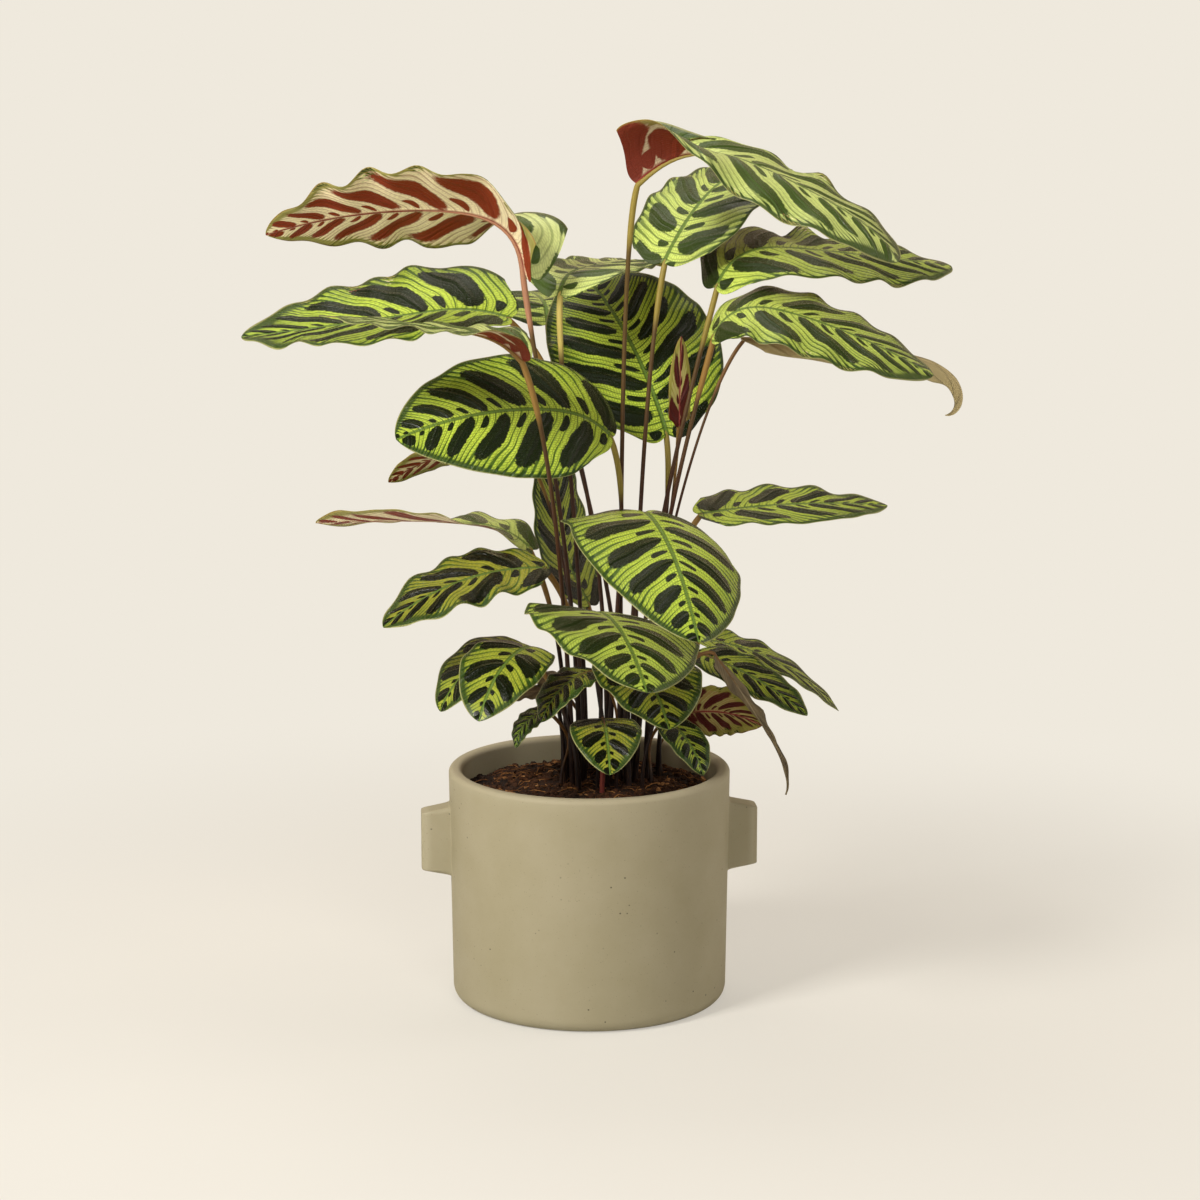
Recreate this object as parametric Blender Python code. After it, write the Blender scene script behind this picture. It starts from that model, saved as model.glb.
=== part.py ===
"""A peacock plant (calathea) in a stoneware pot with two side lugs.

Metres, +Z up.  The origin is the centre of the pot's flat base, +X is the
right-hand side, +Y is the back.  Lengths in the LEAVES table are millimetres
and angles are degrees, because a leaf is easiest to describe that way.

Every leaf is a thin blade carried by a round leaf stalk.  The stalks stand in
sockets in the soil, the soil fills the pot, and the pot stands on its base.
"""
import math
from dataclasses import dataclass

import bmesh
import bpy
import numpy as np

MM = 0.001
GAP = 0.3 * MM

# Pot: a turned body, slightly wider at the rim, with two upright lugs.
POT_HEIGHT = 176 * MM
RIM_RADIUS = 105 * MM
BASE_RADIUS = 102.5 * MM
WALL = 10 * MM
FLOOR = 12 * MM
BASE_ROUNDING = 9 * MM
RIM_ROUNDING = 4 * MM
POT_SEGMENTS = 40
LUG_TURN = 4.5
LUG_TOP = POT_HEIGHT - 28 * MM
LUG_ROOT_HEIGHT = 52 * MM
LUG_TIP_HEIGHT = 45 * MM
LUG_REACH = 21 * MM
LUG_ROOT_WIDTH = 20 * MM
LUG_TIP_WIDTH = 16 * MM
LUG_ROUNDING = 3 * MM

# Soil: a flat crown around the stalks, falling to a lower edge at the wall.
CROWN_CENTRE = (17 * MM, 2 * MM)
CROWN_RADIUS = 46 * MM
CROWN_HEIGHT = 165 * MM
SOIL_EDGE_HEIGHT = 157 * MM
SOIL_RINGS = 4
SOCKET_DEPTH = 12 * MM

# Leaves and their stalks.
BLADE_THICKNESS = 1.0 * MM
STALK_FOOT = 2.4 * MM
STALK_MIDDLE = 1.6 * MM
STALK_TOP = 1.9 * MM
STALK_LAP = 5 * MM
SEAT_GAP = 0.4 * MM
TIP_HALF_WIDTH = 0.8 * MM
SHOOT_FOOT = (9.5 * MM, -38 * MM)
SHOOT_RADIUS = 2.2 * MM
SHOOT_HEIGHT = 46 * MM
SHOOT_LEAN = 4 * MM
BASE_FRACTION = 0.07
SLIM_LEAF = 40


@dataclass
class Leaf:
    """One leaf: where its blade starts, how it runs, and its stalk's foot.

    base: start of the midrib in mm.  heading: compass angle of the midrib,
    0 to the right, 90 to the back.  rise: pitch at the base, easing to level
    over the settle fraction, while droop is lost along the blade and hook at
    the very tip.  roll turns the right half down, fold lifts both halves and
    curl bends each half further (left, right).
    """

    name: str
    base: tuple
    foot: tuple
    heading: float
    length: float
    width: float
    rise: float
    droop: float
    level: float = None
    bend: float = 1.0
    hook: float = 0.0
    settle: float = 0.18
    roll: float = 0.0
    roll_base: float = None
    twist: float = 0.0
    fold: float = 10.0
    fold_base: float = None
    curl: tuple = (-20.0, -20.0)
    fullness: float = 0.4
    taper: float = 0.75
    lobe: float = 0.03
    sweep: float = 0.14
    elbow: float = 28.0
    dip: float = 1.0
    lean: float = 0.0
    one_piece: bool = False
    dry: bool = False

    def __post_init__(self):
        self.level = self.rise if self.level is None else self.level
        self.roll_base = self.roll if self.roll_base is None else self.roll_base
        self.fold_base = self.fold if self.fold_base is None else self.fold_base


LEAVES = [
    # The crown, above the other leaves.
    Leaf("top_arching", (34, -20, 610), (23, -2), -20, 222, 100, 40, 8, level=-20, settle=0.26,
         roll=5, roll_base=-8, fold=2, fold_base=80, curl=(-10, -40), fullness=0.3, lobe=0.06,
         elbow=16, dip=1.5),
    Leaf("top_back", (55, 35, 549), (33, 14), 50, 165, 105, 50, 70, bend=1.5, fold=5,
         curl=(-15, -15)),
    # Leaves that face the back, with their upper side to the front.
    Leaf("back_center", (58, 60, 418), (44, 34), 122, 168, 132, 60, 35, roll=-18, fold=12,
         fullness=0.5, taper=0.65, sweep=0.2, lobe=0.05),
    Leaf("back_left", (-22, 38, 525), (-3, 30), 60, 150, 90, 60, 12, level=6, settle=0.12,
         elbow=20),
    Leaf("back_outer", (-32, 140, 492), (26, 42), 100, 120, 100, 50, 10, level=5),
    Leaf("back_upright", (0, 72, 285), (8, 40), 150, 150, 75, 55, 10, level=88, settle=0.3),
    # Leaves to the right.
    Leaf("right_upper", (93, 25, 532), (30, 6), 20, 203, 110, 60, 4, level=-5, roll=15, fold=5,
         lean=0.3),
    Leaf("right_arching", (89, -20, 500), (34, -4), -5, 178, 108, 60, 24, level=-7, roll=18,
         fold=5, curl=(-25, -20), fullness=0.45, lean=0.3),
    Leaf("right_slim", (82, 10, 365), (43, 14), 18, 150, 78, 6, 13, roll=12),
    Leaf("right_low", (83, 26, 267), (52, 14), 12, 127, 50, -8, 42, roll=15),
    # Leaves to the left.
    Leaf("left_upturned", (-47, 17, 545), (-7, 8), 175, 215, 105, 80, 32, level=14, roll=38,
         roll_base=-15, fold=12, fold_base=40, lobe=0.06),
    Leaf("left_long", (-59, 31, 508), (14, 18), 172, 205, 114, 15, -4, level=-11, roll=-22,
         fold=18, curl=(-15, -15), elbow=60, dip=0.6),
    Leaf("left_edgewise", (-45, -108, 493), (-12, -16), 175, 150, 76, 45, 4, level=8, roll=2,
         fold_base=40, lean=0.3),
    Leaf("left_slim", (-43, 25, 336), (-17, 5), 168, 172, 80, 40, 8, level=3, roll=-5),
    Leaf("left_low", (-32, -26, 331), (-4, -10), 195, 130, 80, 5, 45, roll=-15),
    # Slim leaves on long, thin stalks.
    Leaf("right_withered", (115, 25, 494), (34, 24), 12, 205, 36, -4, 10, hook=180, roll=10,
         lean=0.3, dry=True),
    Leaf("left_curled", (-51, 38, 411), (-7, 37), 172, 107, 40, 4, 40),
    Leaf("furled", (67, 45, 426), (42, 24), 80, 66, 18, 85, 5, roll=30, lean=0.3),
    # Broad leaves that hang to the front.
    Leaf("front_left", (17, -17, 426), (15, -4), 200, 172, 118, 45, 38, level=17, roll=-43,
         fold=5, curl=(-25, -25), fullness=0.45, lobe=0.02),
    Leaf("front_center", (41, -30, 373), (28, -12), -80, 180, 130, 0, 42, fold=5,
         curl=(-65, -12), lobe=0.1),
    Leaf("front_lower", (4, -50, 303), (13, -20), -76, 155, 128, 12, 45, roll=-5,
         curl=(-50, -15), lobe=0.06),
    Leaf("front_skirt", (31, -30, 269), (29, -20), -72, 95, 80, -5, 40),
    Leaf("side_left", (-47, -15, 269), (-19, -5), -158, 85, 66, 5, 75, roll=-10),
    Leaf("side_front", (-43, -42, 276), (-8, -29), -117, 92, 64, 5, 65, roll=-10),
    # Small, young or withered leaves, each grown in one piece with its stalk.
    Leaf("right_inner", (79, -6, 264), (43, -2), -25, 98, 45, -12, 24, roll=15, lobe=0, dip=0.3,
         one_piece=True),
    Leaf("turned_right", (70, 20, 211), (54, 22), -5, 62, 52, 15, 45, roll=-60, one_piece=True),
    Leaf("pot_front", (10, -52, 224), (6, -30), -85, 68, 52, 5, 60, one_piece=True),
    Leaf("pot_right", (57, -14, 215), (46, -11), -50, 56, 38, -15, 50, one_piece=True),
    Leaf("pot_left", (-30, -20, 222), (-21, -14), 200, 40, 28, 0, 90, roll=-10, one_piece=True),
    Leaf("shaded_inner", (4, -52, 260), (20, -28), 215, 60, 48, 0, 70, one_piece=True),
    Leaf("dry_upper", (-22, 31, 236), (-13, 24), 180, 48, 20, 5, 15, roll=-20, one_piece=True,
         dry=True),
    Leaf("dry_lower", (-20, 18, 229), (-14, 15), 185, 55, 22, 5, 25, roll=-20, one_piece=True,
         dry=True),
    Leaf("dry_ribbon", (91, -45, 271), (39, -28), -28, 118, 12, -48, 12, twist=160, lobe=0,
         dip=0.5, one_piece=True, dry=True),
]


def clear_scene():
    """Remove every object that the new file starts with."""
    for item in list(bpy.data.objects):
        bpy.data.objects.remove(item, do_unlink=True)


def material(name, colour, roughness):
    """A plain Principled material in linear RGB."""
    made = bpy.data.materials.new(name)
    made.use_nodes = True
    shader = made.node_tree.nodes["Principled BSDF"]
    shader.inputs["Base Color"].default_value = (*colour, 1.0)
    shader.inputs["Roughness"].default_value = roughness
    shader.inputs["Metallic"].default_value = 0.0
    return made


def add_object(name, mesh, finish):
    """Put a mesh in the scene under its piece's name, shaded smooth."""
    mesh.materials.append(finish)
    mesh.shade_smooth()
    mesh.set_sharp_from_angle(angle=math.radians(40))
    placed = bpy.data.objects.new(name, mesh)
    bpy.context.scene.collection.objects.link(placed)
    return placed


def loft(name, rings, blade_from=None):
    """Close a stack of equal rings into one skin with a cap on each end.

    From row blade_from on the rings go round a blade.  Its upper and lower
    face are cut into the same triangles there, so that they never cross.
    """
    rows, points = rings.shape[:2]
    half = points // 2
    faces = []
    for row in range(rows - 1):
        for point in range(points):
            after = (point + 1) % points
            near, far = row * points + point, (row + 1) * points + point
            near_after, far_after = row * points + after, (row + 1) * points + after
            if blade_from is None or row < blade_from - 1:
                faces.append((near, far, far_after, near_after))
                continue
            column = point if point < half else points - 2 - point
            outward = column >= half // 2
            if outward == (point < half) and point not in (half - 1, points - 1):
                faces += [(near, far, far_after), (near, far_after, near_after)]
            else:
                faces += [(near, far, near_after), (far, far_after, near_after)]
    for start, flat in ((0, blade_from != 0), ((rows - 1) * points, blade_from is None)):
        if flat:
            faces.append(tuple(range(start, start + points)))
            continue
        for point in range(half - 1):
            low = start + points - 1 - point
            faces.append((start + point, start + point + 1, low - 1, low))
    mesh = bpy.data.meshes.new(name)
    mesh.from_pydata(rings.reshape(-1, 3).tolist(), [], faces)
    mesh.update()
    face_outwards(mesh)
    return mesh


def face_outwards(mesh):
    """Turn every face to point out of its closed body."""
    work = bmesh.new()
    work.from_mesh(mesh)
    bmesh.ops.recalc_face_normals(work, faces=work.faces)
    work.to_mesh(mesh)
    work.free()


def boolean(target, cutter, operation):
    """Join or cut with a hidden tool object."""
    cutter.hide_render = True
    cutter.display_type = 'WIRE'
    step = target.modifiers.new(cutter.name, 'BOOLEAN')
    step.operation = operation
    step.solver = 'EXACT'
    step.object = cutter


# ---------------------------------------------------------------- leaf shape

def midrib(leaf, along):
    """Places and frames on the midrib at each fraction of its length.

    The pitch falls from rise to level as a bell curve of width settle, then
    by droop times the fraction to the power bend, and by hook at the tip.
    The places are the running sum of the directions.
    """
    fine = np.linspace(0.0, 1.0, 401)
    settled = np.exp(-(fine / leaf.settle) ** 2)
    pitch = np.radians(leaf.level + (leaf.rise - leaf.level) * settled
                       - leaf.droop * fine ** leaf.bend - leaf.hook * fine ** 8)
    heading = math.radians(leaf.heading)
    tangent = np.stack([np.cos(pitch) * math.cos(heading), np.cos(pitch) * math.sin(heading),
                        np.sin(pitch)], axis=1)
    steps = 0.5 * (tangent[1:] + tangent[:-1]) * leaf.length * MM / 400
    place = np.array(leaf.base) * MM + np.vstack([np.zeros(3), np.cumsum(steps, axis=0)])

    flat = np.clip(along, 0.0, 1.0).ravel()
    here = np.stack([np.interp(flat, fine, place[:, k]) for k in range(3)], axis=1)
    ahead = np.stack([np.interp(flat, fine, tangent[:, k]) for k in range(3)], axis=1)
    here += ahead * (np.minimum(along.ravel(), 0.0) * leaf.length * MM)[:, None]
    slope = np.interp(flat, fine, pitch)
    upright = np.stack([-np.sin(slope) * math.cos(heading), -np.sin(slope) * math.sin(heading),
                        np.cos(slope)], axis=1)
    side = np.cross(ahead, upright)
    turn = np.radians(leaf.roll + leaf.twist * flat
                      + (leaf.roll_base - leaf.roll) * np.exp(-(flat / leaf.settle) ** 2))
    turn = turn[:, None]
    right = np.cos(turn) * side - np.sin(turn) * upright
    normal = np.cos(turn) * upright + np.sin(turn) * side
    shape = along.shape + (3,)
    return here.reshape(shape), ahead.reshape(shape), right.reshape(shape), normal.reshape(shape)


def half_width(leaf, along):
    """Outline of half a blade: x^fullness (1 - x)^taper, scaled to its widest."""
    widest = leaf.fullness / (leaf.fullness + leaf.taper)
    peak = widest ** leaf.fullness * (1 - widest) ** leaf.taper
    x = np.clip(along, 0.0, 1.0)
    outline = x ** leaf.fullness * (1 - x) ** leaf.taper / peak
    return np.maximum(0.5 * leaf.width * MM * outline, TIP_HALF_WIDTH)


def blade_surface(leaf, rows, half_columns):
    """Middle surface of a blade and its unit normals, on a grid.

    Rows follow the side veins, which leave the midrib and sweep towards the
    tip.  Across a row the surface turns by fold at the rib and by curl more
    at the margin, so each half is an arc of a circle.
    """
    row = 0.5 - 0.5 * np.cos(np.linspace(0.0, math.pi, rows))
    column = np.linspace(-1.0, 1.0, 2 * half_columns + 1)
    u, q = np.meshgrid(row, column, indexing="ij")
    across = np.abs(q)
    side = np.sign(q)
    margin = BASE_FRACTION + (1 - BASE_FRACTION) * u
    margin = np.clip(margin + leaf.sweep * np.sin(math.pi * u) * (1 - 0.3 * u), 0.0, 1.0)
    along = u + (margin - u) * across ** (1.2 + 0.8 * np.exp(-u / 0.1))
    along -= leaf.lobe * np.sin(math.pi * across ** 0.8) * (1 - across ** 2) * np.exp(-u / 0.06)

    here, ahead, right, normal = midrib(leaf, along)
    settled = np.exp(-(np.clip(along, 0, 1) / leaf.settle) ** 2)
    fold = np.radians(leaf.fold + (leaf.fold_base - leaf.fold) * settled)
    curl = np.radians(np.where(side < 0, leaf.curl[0], leaf.curl[1]))
    reach = half_width(leaf, margin)
    out = reach * (np.sin(fold + curl * across) - np.sin(fold)) / curl
    lift = reach * (np.cos(fold) - np.cos(fold + curl * across)) / curl
    surface = here + right * (out * side)[..., None] + normal * lift[..., None]
    tilt = np.where(across > 0, fold + curl * across, 0.0)[..., None]
    facing = np.cos(tilt) * normal - np.sin(tilt) * right * side[..., None]
    return surface, facing


def blade_rings(leaf, rows, half_columns):
    """Rings around a blade: the upper face left to right, the lower one back."""
    surface, facing = blade_surface(leaf, rows, half_columns)
    upper = surface + 0.5 * BLADE_THICKNESS * facing
    lower = surface - 0.5 * BLADE_THICKNESS * facing
    return np.concatenate([upper, lower[:, ::-1]], axis=1)


def stalk_path(leaf, pieces):
    """Middle line of a stalk: one cubic curve from its foot to the blade.

    It leaves the soil upright (or leaning towards the blade) and arrives
    along the midrib, just under the blade.
    """
    start, ahead, right, normal = (part[0] for part in midrib(leaf, np.zeros(1)))
    foot = np.array([leaf.foot[0] * MM, leaf.foot[1] * MM, CROWN_HEIGHT + GAP])
    under = BLADE_THICKNESS / 2 + SEAT_GAP + stalk_top(leaf)
    top = start + (0.0 if leaf.one_piece else STALK_LAP) * ahead
    top = top - (0.0 if leaf.one_piece else under) * normal
    reach = np.linalg.norm(top - foot)
    first = (1 - leaf.lean) * np.array([0, 0, 1.0]) + leaf.lean * (top - foot) / reach
    first = foot + 0.45 * reach * first / np.linalg.norm(first)
    second = top - leaf.elbow * MM * (ahead + np.array([0, 0, leaf.dip]))
    t = np.linspace(0.0, 1.0, pieces + 1)[:, None]
    path = ((1 - t) ** 3 * foot + 3 * (1 - t) ** 2 * t * first
            + 3 * (1 - t) * t ** 2 * second + t ** 3 * top)
    buried = foot - np.array([0, 0, SOCKET_DEPTH - GAP])
    return np.vstack([buried, path]), ahead, right


def stalk_scale(leaf):
    """Small leaves have thinner stalks."""
    return 0.65 if leaf.one_piece or leaf.width <= SLIM_LEAF else 1.0


def stalk_top(leaf):
    """Radius of a stalk where the blade begins."""
    return STALK_TOP * stalk_scale(leaf)


def stalk_rings(leaf, pieces, points):
    """Rings of a stalk, turned so that they meet the blade's frame."""
    path, ahead, right = stalk_path(leaf, pieces)
    radius = np.interp(np.linspace(0, 1, len(path)), [0.0, 0.12, 0.35, 0.8, 1.0],
                       [STALK_FOOT, STALK_FOOT, STALK_MIDDLE, STALK_MIDDLE, STALK_TOP])
    radius = radius * stalk_scale(leaf)
    direction = np.gradient(path, axis=0)
    direction[:2] = (0.0, 0.0, 1.0)
    direction[-1] = ahead
    direction /= np.linalg.norm(direction, axis=1)[:, None]
    # The last ring keeps the blade's sideways direction; each ring below
    # takes that of the ring above, made square to its own direction.
    sideways = np.empty_like(path)
    carried = right
    for ring in range(len(path) - 1, -1, -1):
        carried = carried - direction[ring] * np.dot(carried, direction[ring])
        carried = carried / np.linalg.norm(carried)
        sideways[ring] = carried
    upwards = np.cross(sideways, direction)
    angle = math.pi - (np.arange(points) + 0.5) * 2 * math.pi / points
    return (path[:, None, :] + radius[:, None, None]
            * (np.cos(angle)[None, :, None] * sideways[:, None, :]
               + np.sin(angle)[None, :, None] * upwards[:, None, :]))


# --------------------------------------------------------------- the pieces

def build_leaf(leaf, blade_finish, stalk_finish):
    """A blade and its stalk, or both in one skin for a small leaf."""
    if leaf.one_piece:
        blade = blade_rings(leaf, 8, 2)
        stalk = stalk_rings(leaf, 6, blade.shape[1])
        rings = np.concatenate([stalk[:-1], blade], axis=0)
        skin = loft("leaf_" + leaf.name, rings, len(stalk) - 1)
        add_object("leaf_" + leaf.name, skin, blade_finish)
        return
    blade = blade_rings(leaf, 10, 3)
    add_object("leaf_" + leaf.name, loft("leaf_" + leaf.name, blade, 0), blade_finish)
    stalk = stalk_rings(leaf, 8, 6)
    add_object("stem_" + leaf.name, loft("stem_" + leaf.name, stalk), stalk_finish)


def build_shoot(finish):
    """A young leaf that is still rolled into a slim spear."""
    foot = np.array([*SHOOT_FOOT, CROWN_HEIGHT])
    t = np.array([0.0, 0.1, 0.35, 0.6, 0.8, 0.93, 1.0])[:, None]
    path = foot + t * np.array([0, 0, SHOOT_HEIGHT]) + t ** 2 * np.array([SHOOT_LEAN, 0, 0])
    path = np.vstack([foot - np.array([0, 0, SOCKET_DEPTH - GAP]), path])
    radius = SHOOT_RADIUS * np.array([0.8, 0.8, 0.9, 1.0, 0.95, 0.75, 0.45, 0.2])
    angle = (np.arange(8) + 0.5) * 2 * math.pi / 8
    circle = np.stack([np.cos(angle), np.sin(angle), np.zeros(8)], axis=1)
    rings = path[:, None, :] + radius[:, None, None] * circle[None]
    add_object("new_shoot", loft("new_shoot", rings), finish)


def arc(centre, radius, start, end, pieces):
    """Points on an arc in the profile plane, angles in degrees."""
    angles = np.radians(np.linspace(start, end, pieces + 1))
    return [(centre[0] + radius * math.cos(a), centre[1] + radius * math.sin(a)) for a in angles]


def turned(name, profile, segments):
    """Turn a profile that starts and ends on the axis into a closed body."""
    mesh = bpy.data.meshes.new(name)
    vertices = [(0.0, 0.0, profile[0][1])]
    for radius, height in profile[1:-1]:
        for k in range(segments):
            angle = 2 * math.pi * k / segments
            vertices.append((radius * math.cos(angle), radius * math.sin(angle), height))
    vertices.append((0.0, 0.0, profile[-1][1]))
    rows = len(profile) - 2
    faces = []
    for k in range(segments):
        after = (k + 1) % segments
        faces.append((0, 1 + after, 1 + k))
        for row in range(rows - 1):
            low, high = 1 + row * segments, 1 + (row + 1) * segments
            faces.append((low + k, low + after, high + after, high + k))
        last = 1 + (rows - 1) * segments
        faces.append((last + k, last + after, len(vertices) - 1))
    mesh.from_pydata(vertices, [], faces)
    mesh.update()
    face_outwards(mesh)
    return mesh


def inner_radius(height):
    """Inside radius of the pot at a height."""
    return BASE_RADIUS + (RIM_RADIUS - BASE_RADIUS) * height / POT_HEIGHT - WALL


def lug_mesh(name, turn):
    """One upright lug, narrower and lower at its tip, with rounded edges."""
    root = RIM_RADIUS - WALL / 2 - 2 * MM
    tip = RIM_RADIUS + LUG_REACH
    middle = LUG_TOP - LUG_ROOT_HEIGHT / 2
    corners = []
    for reach, width, height in ((root, LUG_ROOT_WIDTH, LUG_ROOT_HEIGHT),
                                 (tip, LUG_TIP_WIDTH, LUG_TIP_HEIGHT)):
        for side, level in ((-1, -1), (1, -1), (1, 1), (-1, 1)):
            corners.append((reach, side * width / 2, middle + level * height / 2))
    faces = [(0, 1, 2, 3), (7, 6, 5, 4), (0, 4, 5, 1), (1, 5, 6, 2), (2, 6, 7, 3), (3, 7, 4, 0)]
    work = bmesh.new()
    placed = [work.verts.new(corner) for corner in corners]
    for face in faces:
        work.faces.new([placed[k] for k in face])
    bmesh.ops.recalc_face_normals(work, faces=work.faces)
    outer = [edge for edge in work.edges if any(v.co.x > root + LUG_REACH / 2 for v in edge.verts)]
    bmesh.ops.bevel(work, geom=outer, offset=LUG_ROUNDING, segments=2, profile=0.5,
                    affect='EDGES')
    angle = math.radians(turn)
    cosine, sine = math.cos(angle), math.sin(angle)
    for vertex in work.verts:
        x, y = vertex.co.x, vertex.co.y
        vertex.co.x, vertex.co.y = x * cosine - y * sine, x * sine + y * cosine
    mesh = bpy.data.meshes.new(name)
    work.to_mesh(mesh)
    work.free()
    return mesh


def build_pot(finish):
    """The pot: turned body with rounded rim and base, joined to two lugs."""
    flat = BASE_RADIUS - BASE_ROUNDING
    profile = [(0.0, 0.0)]
    profile += arc((flat, BASE_ROUNDING), BASE_ROUNDING, -90, 0, 4)
    profile += arc((RIM_RADIUS - RIM_ROUNDING, POT_HEIGHT - RIM_ROUNDING), RIM_ROUNDING, 0, 90, 3)
    inside_top = RIM_RADIUS - WALL + RIM_ROUNDING
    profile += arc((inside_top, POT_HEIGHT - RIM_ROUNDING), RIM_ROUNDING, 90, 180, 3)
    profile += [(inner_radius(FLOOR), FLOOR), (0.0, FLOOR)]
    pot = add_object("pot", turned("pot", profile, POT_SEGMENTS), finish)
    for name, turn in (("lug_right_tool", LUG_TURN), ("lug_left_tool", 180 + LUG_TURN)):
        lug = add_object(name, lug_mesh(name, turn), finish)
        boolean(pot, lug, 'UNION')


def build_soil(finish):
    """The soil: fills the pot to a flat crown, with a socket for each stalk."""
    top = []
    for ring in range(SOIL_RINGS + 1):
        share = ring / SOIL_RINGS
        top.append((share, CROWN_HEIGHT - (CROWN_HEIGHT - SOIL_EDGE_HEIGHT)
                    * (3 * share ** 2 - 2 * share ** 3)))
    floor = FLOOR + GAP
    vertices, rings = [], []

    def ring_of(radius_at, height):
        start = len(vertices)
        for k in range(POT_SEGMENTS):
            angle = 2 * math.pi * k / POT_SEGMENTS
            x, y = radius_at(angle)
            vertices.append((x, y, height))
        rings.append(start)

    def wall_ring(height):
        reach = inner_radius(height) - GAP
        ring_of(lambda a: (reach * math.cos(a), reach * math.sin(a)), height)

    for share, height in top:
        reach = inner_radius(height) - GAP

        def blend(a, share=share, reach=reach):
            near = (CROWN_CENTRE[0] + CROWN_RADIUS * math.cos(a),
                    CROWN_CENTRE[1] + CROWN_RADIUS * math.sin(a))
            far = (reach * math.cos(a), reach * math.sin(a))
            return (near[0] + share * (far[0] - near[0]), near[1] + share * (far[1] - near[1]))

        ring_of(blend, height)
    wall_ring(floor)
    faces = [tuple(range(POT_SEGMENTS)), tuple(range(rings[-1], rings[-1] + POT_SEGMENTS))]
    for low, high in zip(rings, rings[1:]):
        for k in range(POT_SEGMENTS):
            after = (k + 1) % POT_SEGMENTS
            faces.append((low + k, low + after, high + after, high + k))
    mesh = bpy.data.meshes.new("soil")
    mesh.from_pydata(vertices, [], faces)
    mesh.update()
    face_outwards(mesh)
    soil = add_object("soil", mesh, finish)
    sockets = add_object("socket_tool", socket_mesh(), finish)
    boolean(soil, sockets, 'DIFFERENCE')


def socket_mesh():
    """Upright cutters, one for each stalk, a gap wider than the stalk's foot."""
    feet = [(leaf.foot[0] * MM, leaf.foot[1] * MM, STALK_FOOT * stalk_scale(leaf), 8)
            for leaf in LEAVES]
    feet.append((*SHOOT_FOOT, SHOOT_RADIUS, 8))
    work = bmesh.new()
    for x, y, radius, sides in feet:
        reach = (radius + GAP) / math.cos(math.pi / sides)
        made = bmesh.ops.create_cone(work, cap_ends=True, segments=sides, radius1=reach,
                                     radius2=reach, depth=2 * (SOCKET_DEPTH + GAP))
        for vertex in made["verts"]:
            vertex.co.x += x
            vertex.co.y += y
            vertex.co.z += CROWN_HEIGHT
    mesh = bpy.data.meshes.new("socket_tool")
    work.to_mesh(mesh)
    work.free()
    return mesh


def main():
    """Build the pot, the soil and the leaves."""
    clear_scene()
    stoneware = material("sage_stoneware", (0.33, 0.30, 0.20), 0.65)
    earth = material("dark_compost", (0.03, 0.015, 0.008), 0.95)
    green = material("patterned_leaf", (0.18, 0.27, 0.04), 0.45)
    withered = material("withered_leaf", (0.17, 0.14, 0.08), 0.8)
    stalk = material("dark_stalk", (0.08, 0.03, 0.015), 0.5)
    maroon = material("maroon_shoot", (0.13, 0.02, 0.025), 0.5)
    build_pot(stoneware)
    build_soil(earth)
    build_shoot(maroon)
    for leaf in LEAVES:
        build_leaf(leaf, withered if leaf.dry else green, stalk)


main()
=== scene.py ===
"""A peacock plant (calathea) in a matte sage stoneware pot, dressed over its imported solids.

Everything is worked out in millimetres and becomes metres as its mesh is placed.  The
origin is the centre of the pot's flat base, +X to the right, +Y to the back, +Z up.
Angles in the LEAVES table are in degrees.  Every surface is a formula on a grid.
"""
import logging
import math
from dataclasses import dataclass
from enum import Enum
from typing import Any, Optional, Sequence

import bpy
import numpy as np
from mathutils import Matrix

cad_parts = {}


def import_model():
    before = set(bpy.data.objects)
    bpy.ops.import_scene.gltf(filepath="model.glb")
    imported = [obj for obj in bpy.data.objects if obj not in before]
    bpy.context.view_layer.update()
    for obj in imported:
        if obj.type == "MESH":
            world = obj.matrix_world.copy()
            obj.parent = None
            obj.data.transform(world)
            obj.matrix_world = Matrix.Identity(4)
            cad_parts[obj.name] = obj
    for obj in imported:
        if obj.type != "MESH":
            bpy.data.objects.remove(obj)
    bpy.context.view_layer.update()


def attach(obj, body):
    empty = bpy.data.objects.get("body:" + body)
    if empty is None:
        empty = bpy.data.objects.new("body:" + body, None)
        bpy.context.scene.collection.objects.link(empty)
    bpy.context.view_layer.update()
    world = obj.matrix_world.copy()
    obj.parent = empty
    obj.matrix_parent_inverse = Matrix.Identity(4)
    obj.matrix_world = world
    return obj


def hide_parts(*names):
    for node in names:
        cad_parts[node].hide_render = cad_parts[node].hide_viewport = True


MM = 0.001
TURN = 2 * math.pi
LOG = logging.getLogger("potted_calathea")
Array = np.ndarray
Tree = bpy.types.NodeTree
Node = bpy.types.Node
Material = bpy.types.Material

# Height of the stalks' feet, and how far below a blade its stalk runs.
CROWN_HEIGHT = 165.3
BLADE_UNDER = 0.5
# Radii of a large stalk, at these shares of the way from its foot to the blade.
STALK_RADII = (2.4, 2.4, 1.6, 1.6, 1.9)
STALK_SHARES = (0.0, 0.12, 0.35, 0.8, 1.0)
# Where the lowest side vein meets the margin, and the least half width of a blade.
BASE_FRACTION = 0.07
TIP_HALF_WIDTH = 0.8
# Setting of a MapRange node that eases both ends.
EASED = {"interpolation_type": "SMOOTHSTEP"}


# ------------------------------------------------------------------ helpers

def linear(hex_colour: str) -> tuple[float, float, float, float]:
    """Turn an sRGB colour into linear light.

    Args:
        hex_colour: the colour as "#rrggbb".

    Returns:
        Linear red, green and blue, and an alpha of 1.
    """
    channels = [int(hex_colour[k:k + 2], 16) / 255 for k in (1, 3, 5)]
    light = [c / 12.92 if c <= 0.04045 else ((c + 0.055) / 1.055) ** 2.4 for c in channels]
    return light[0], light[1], light[2], 1.0


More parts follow.
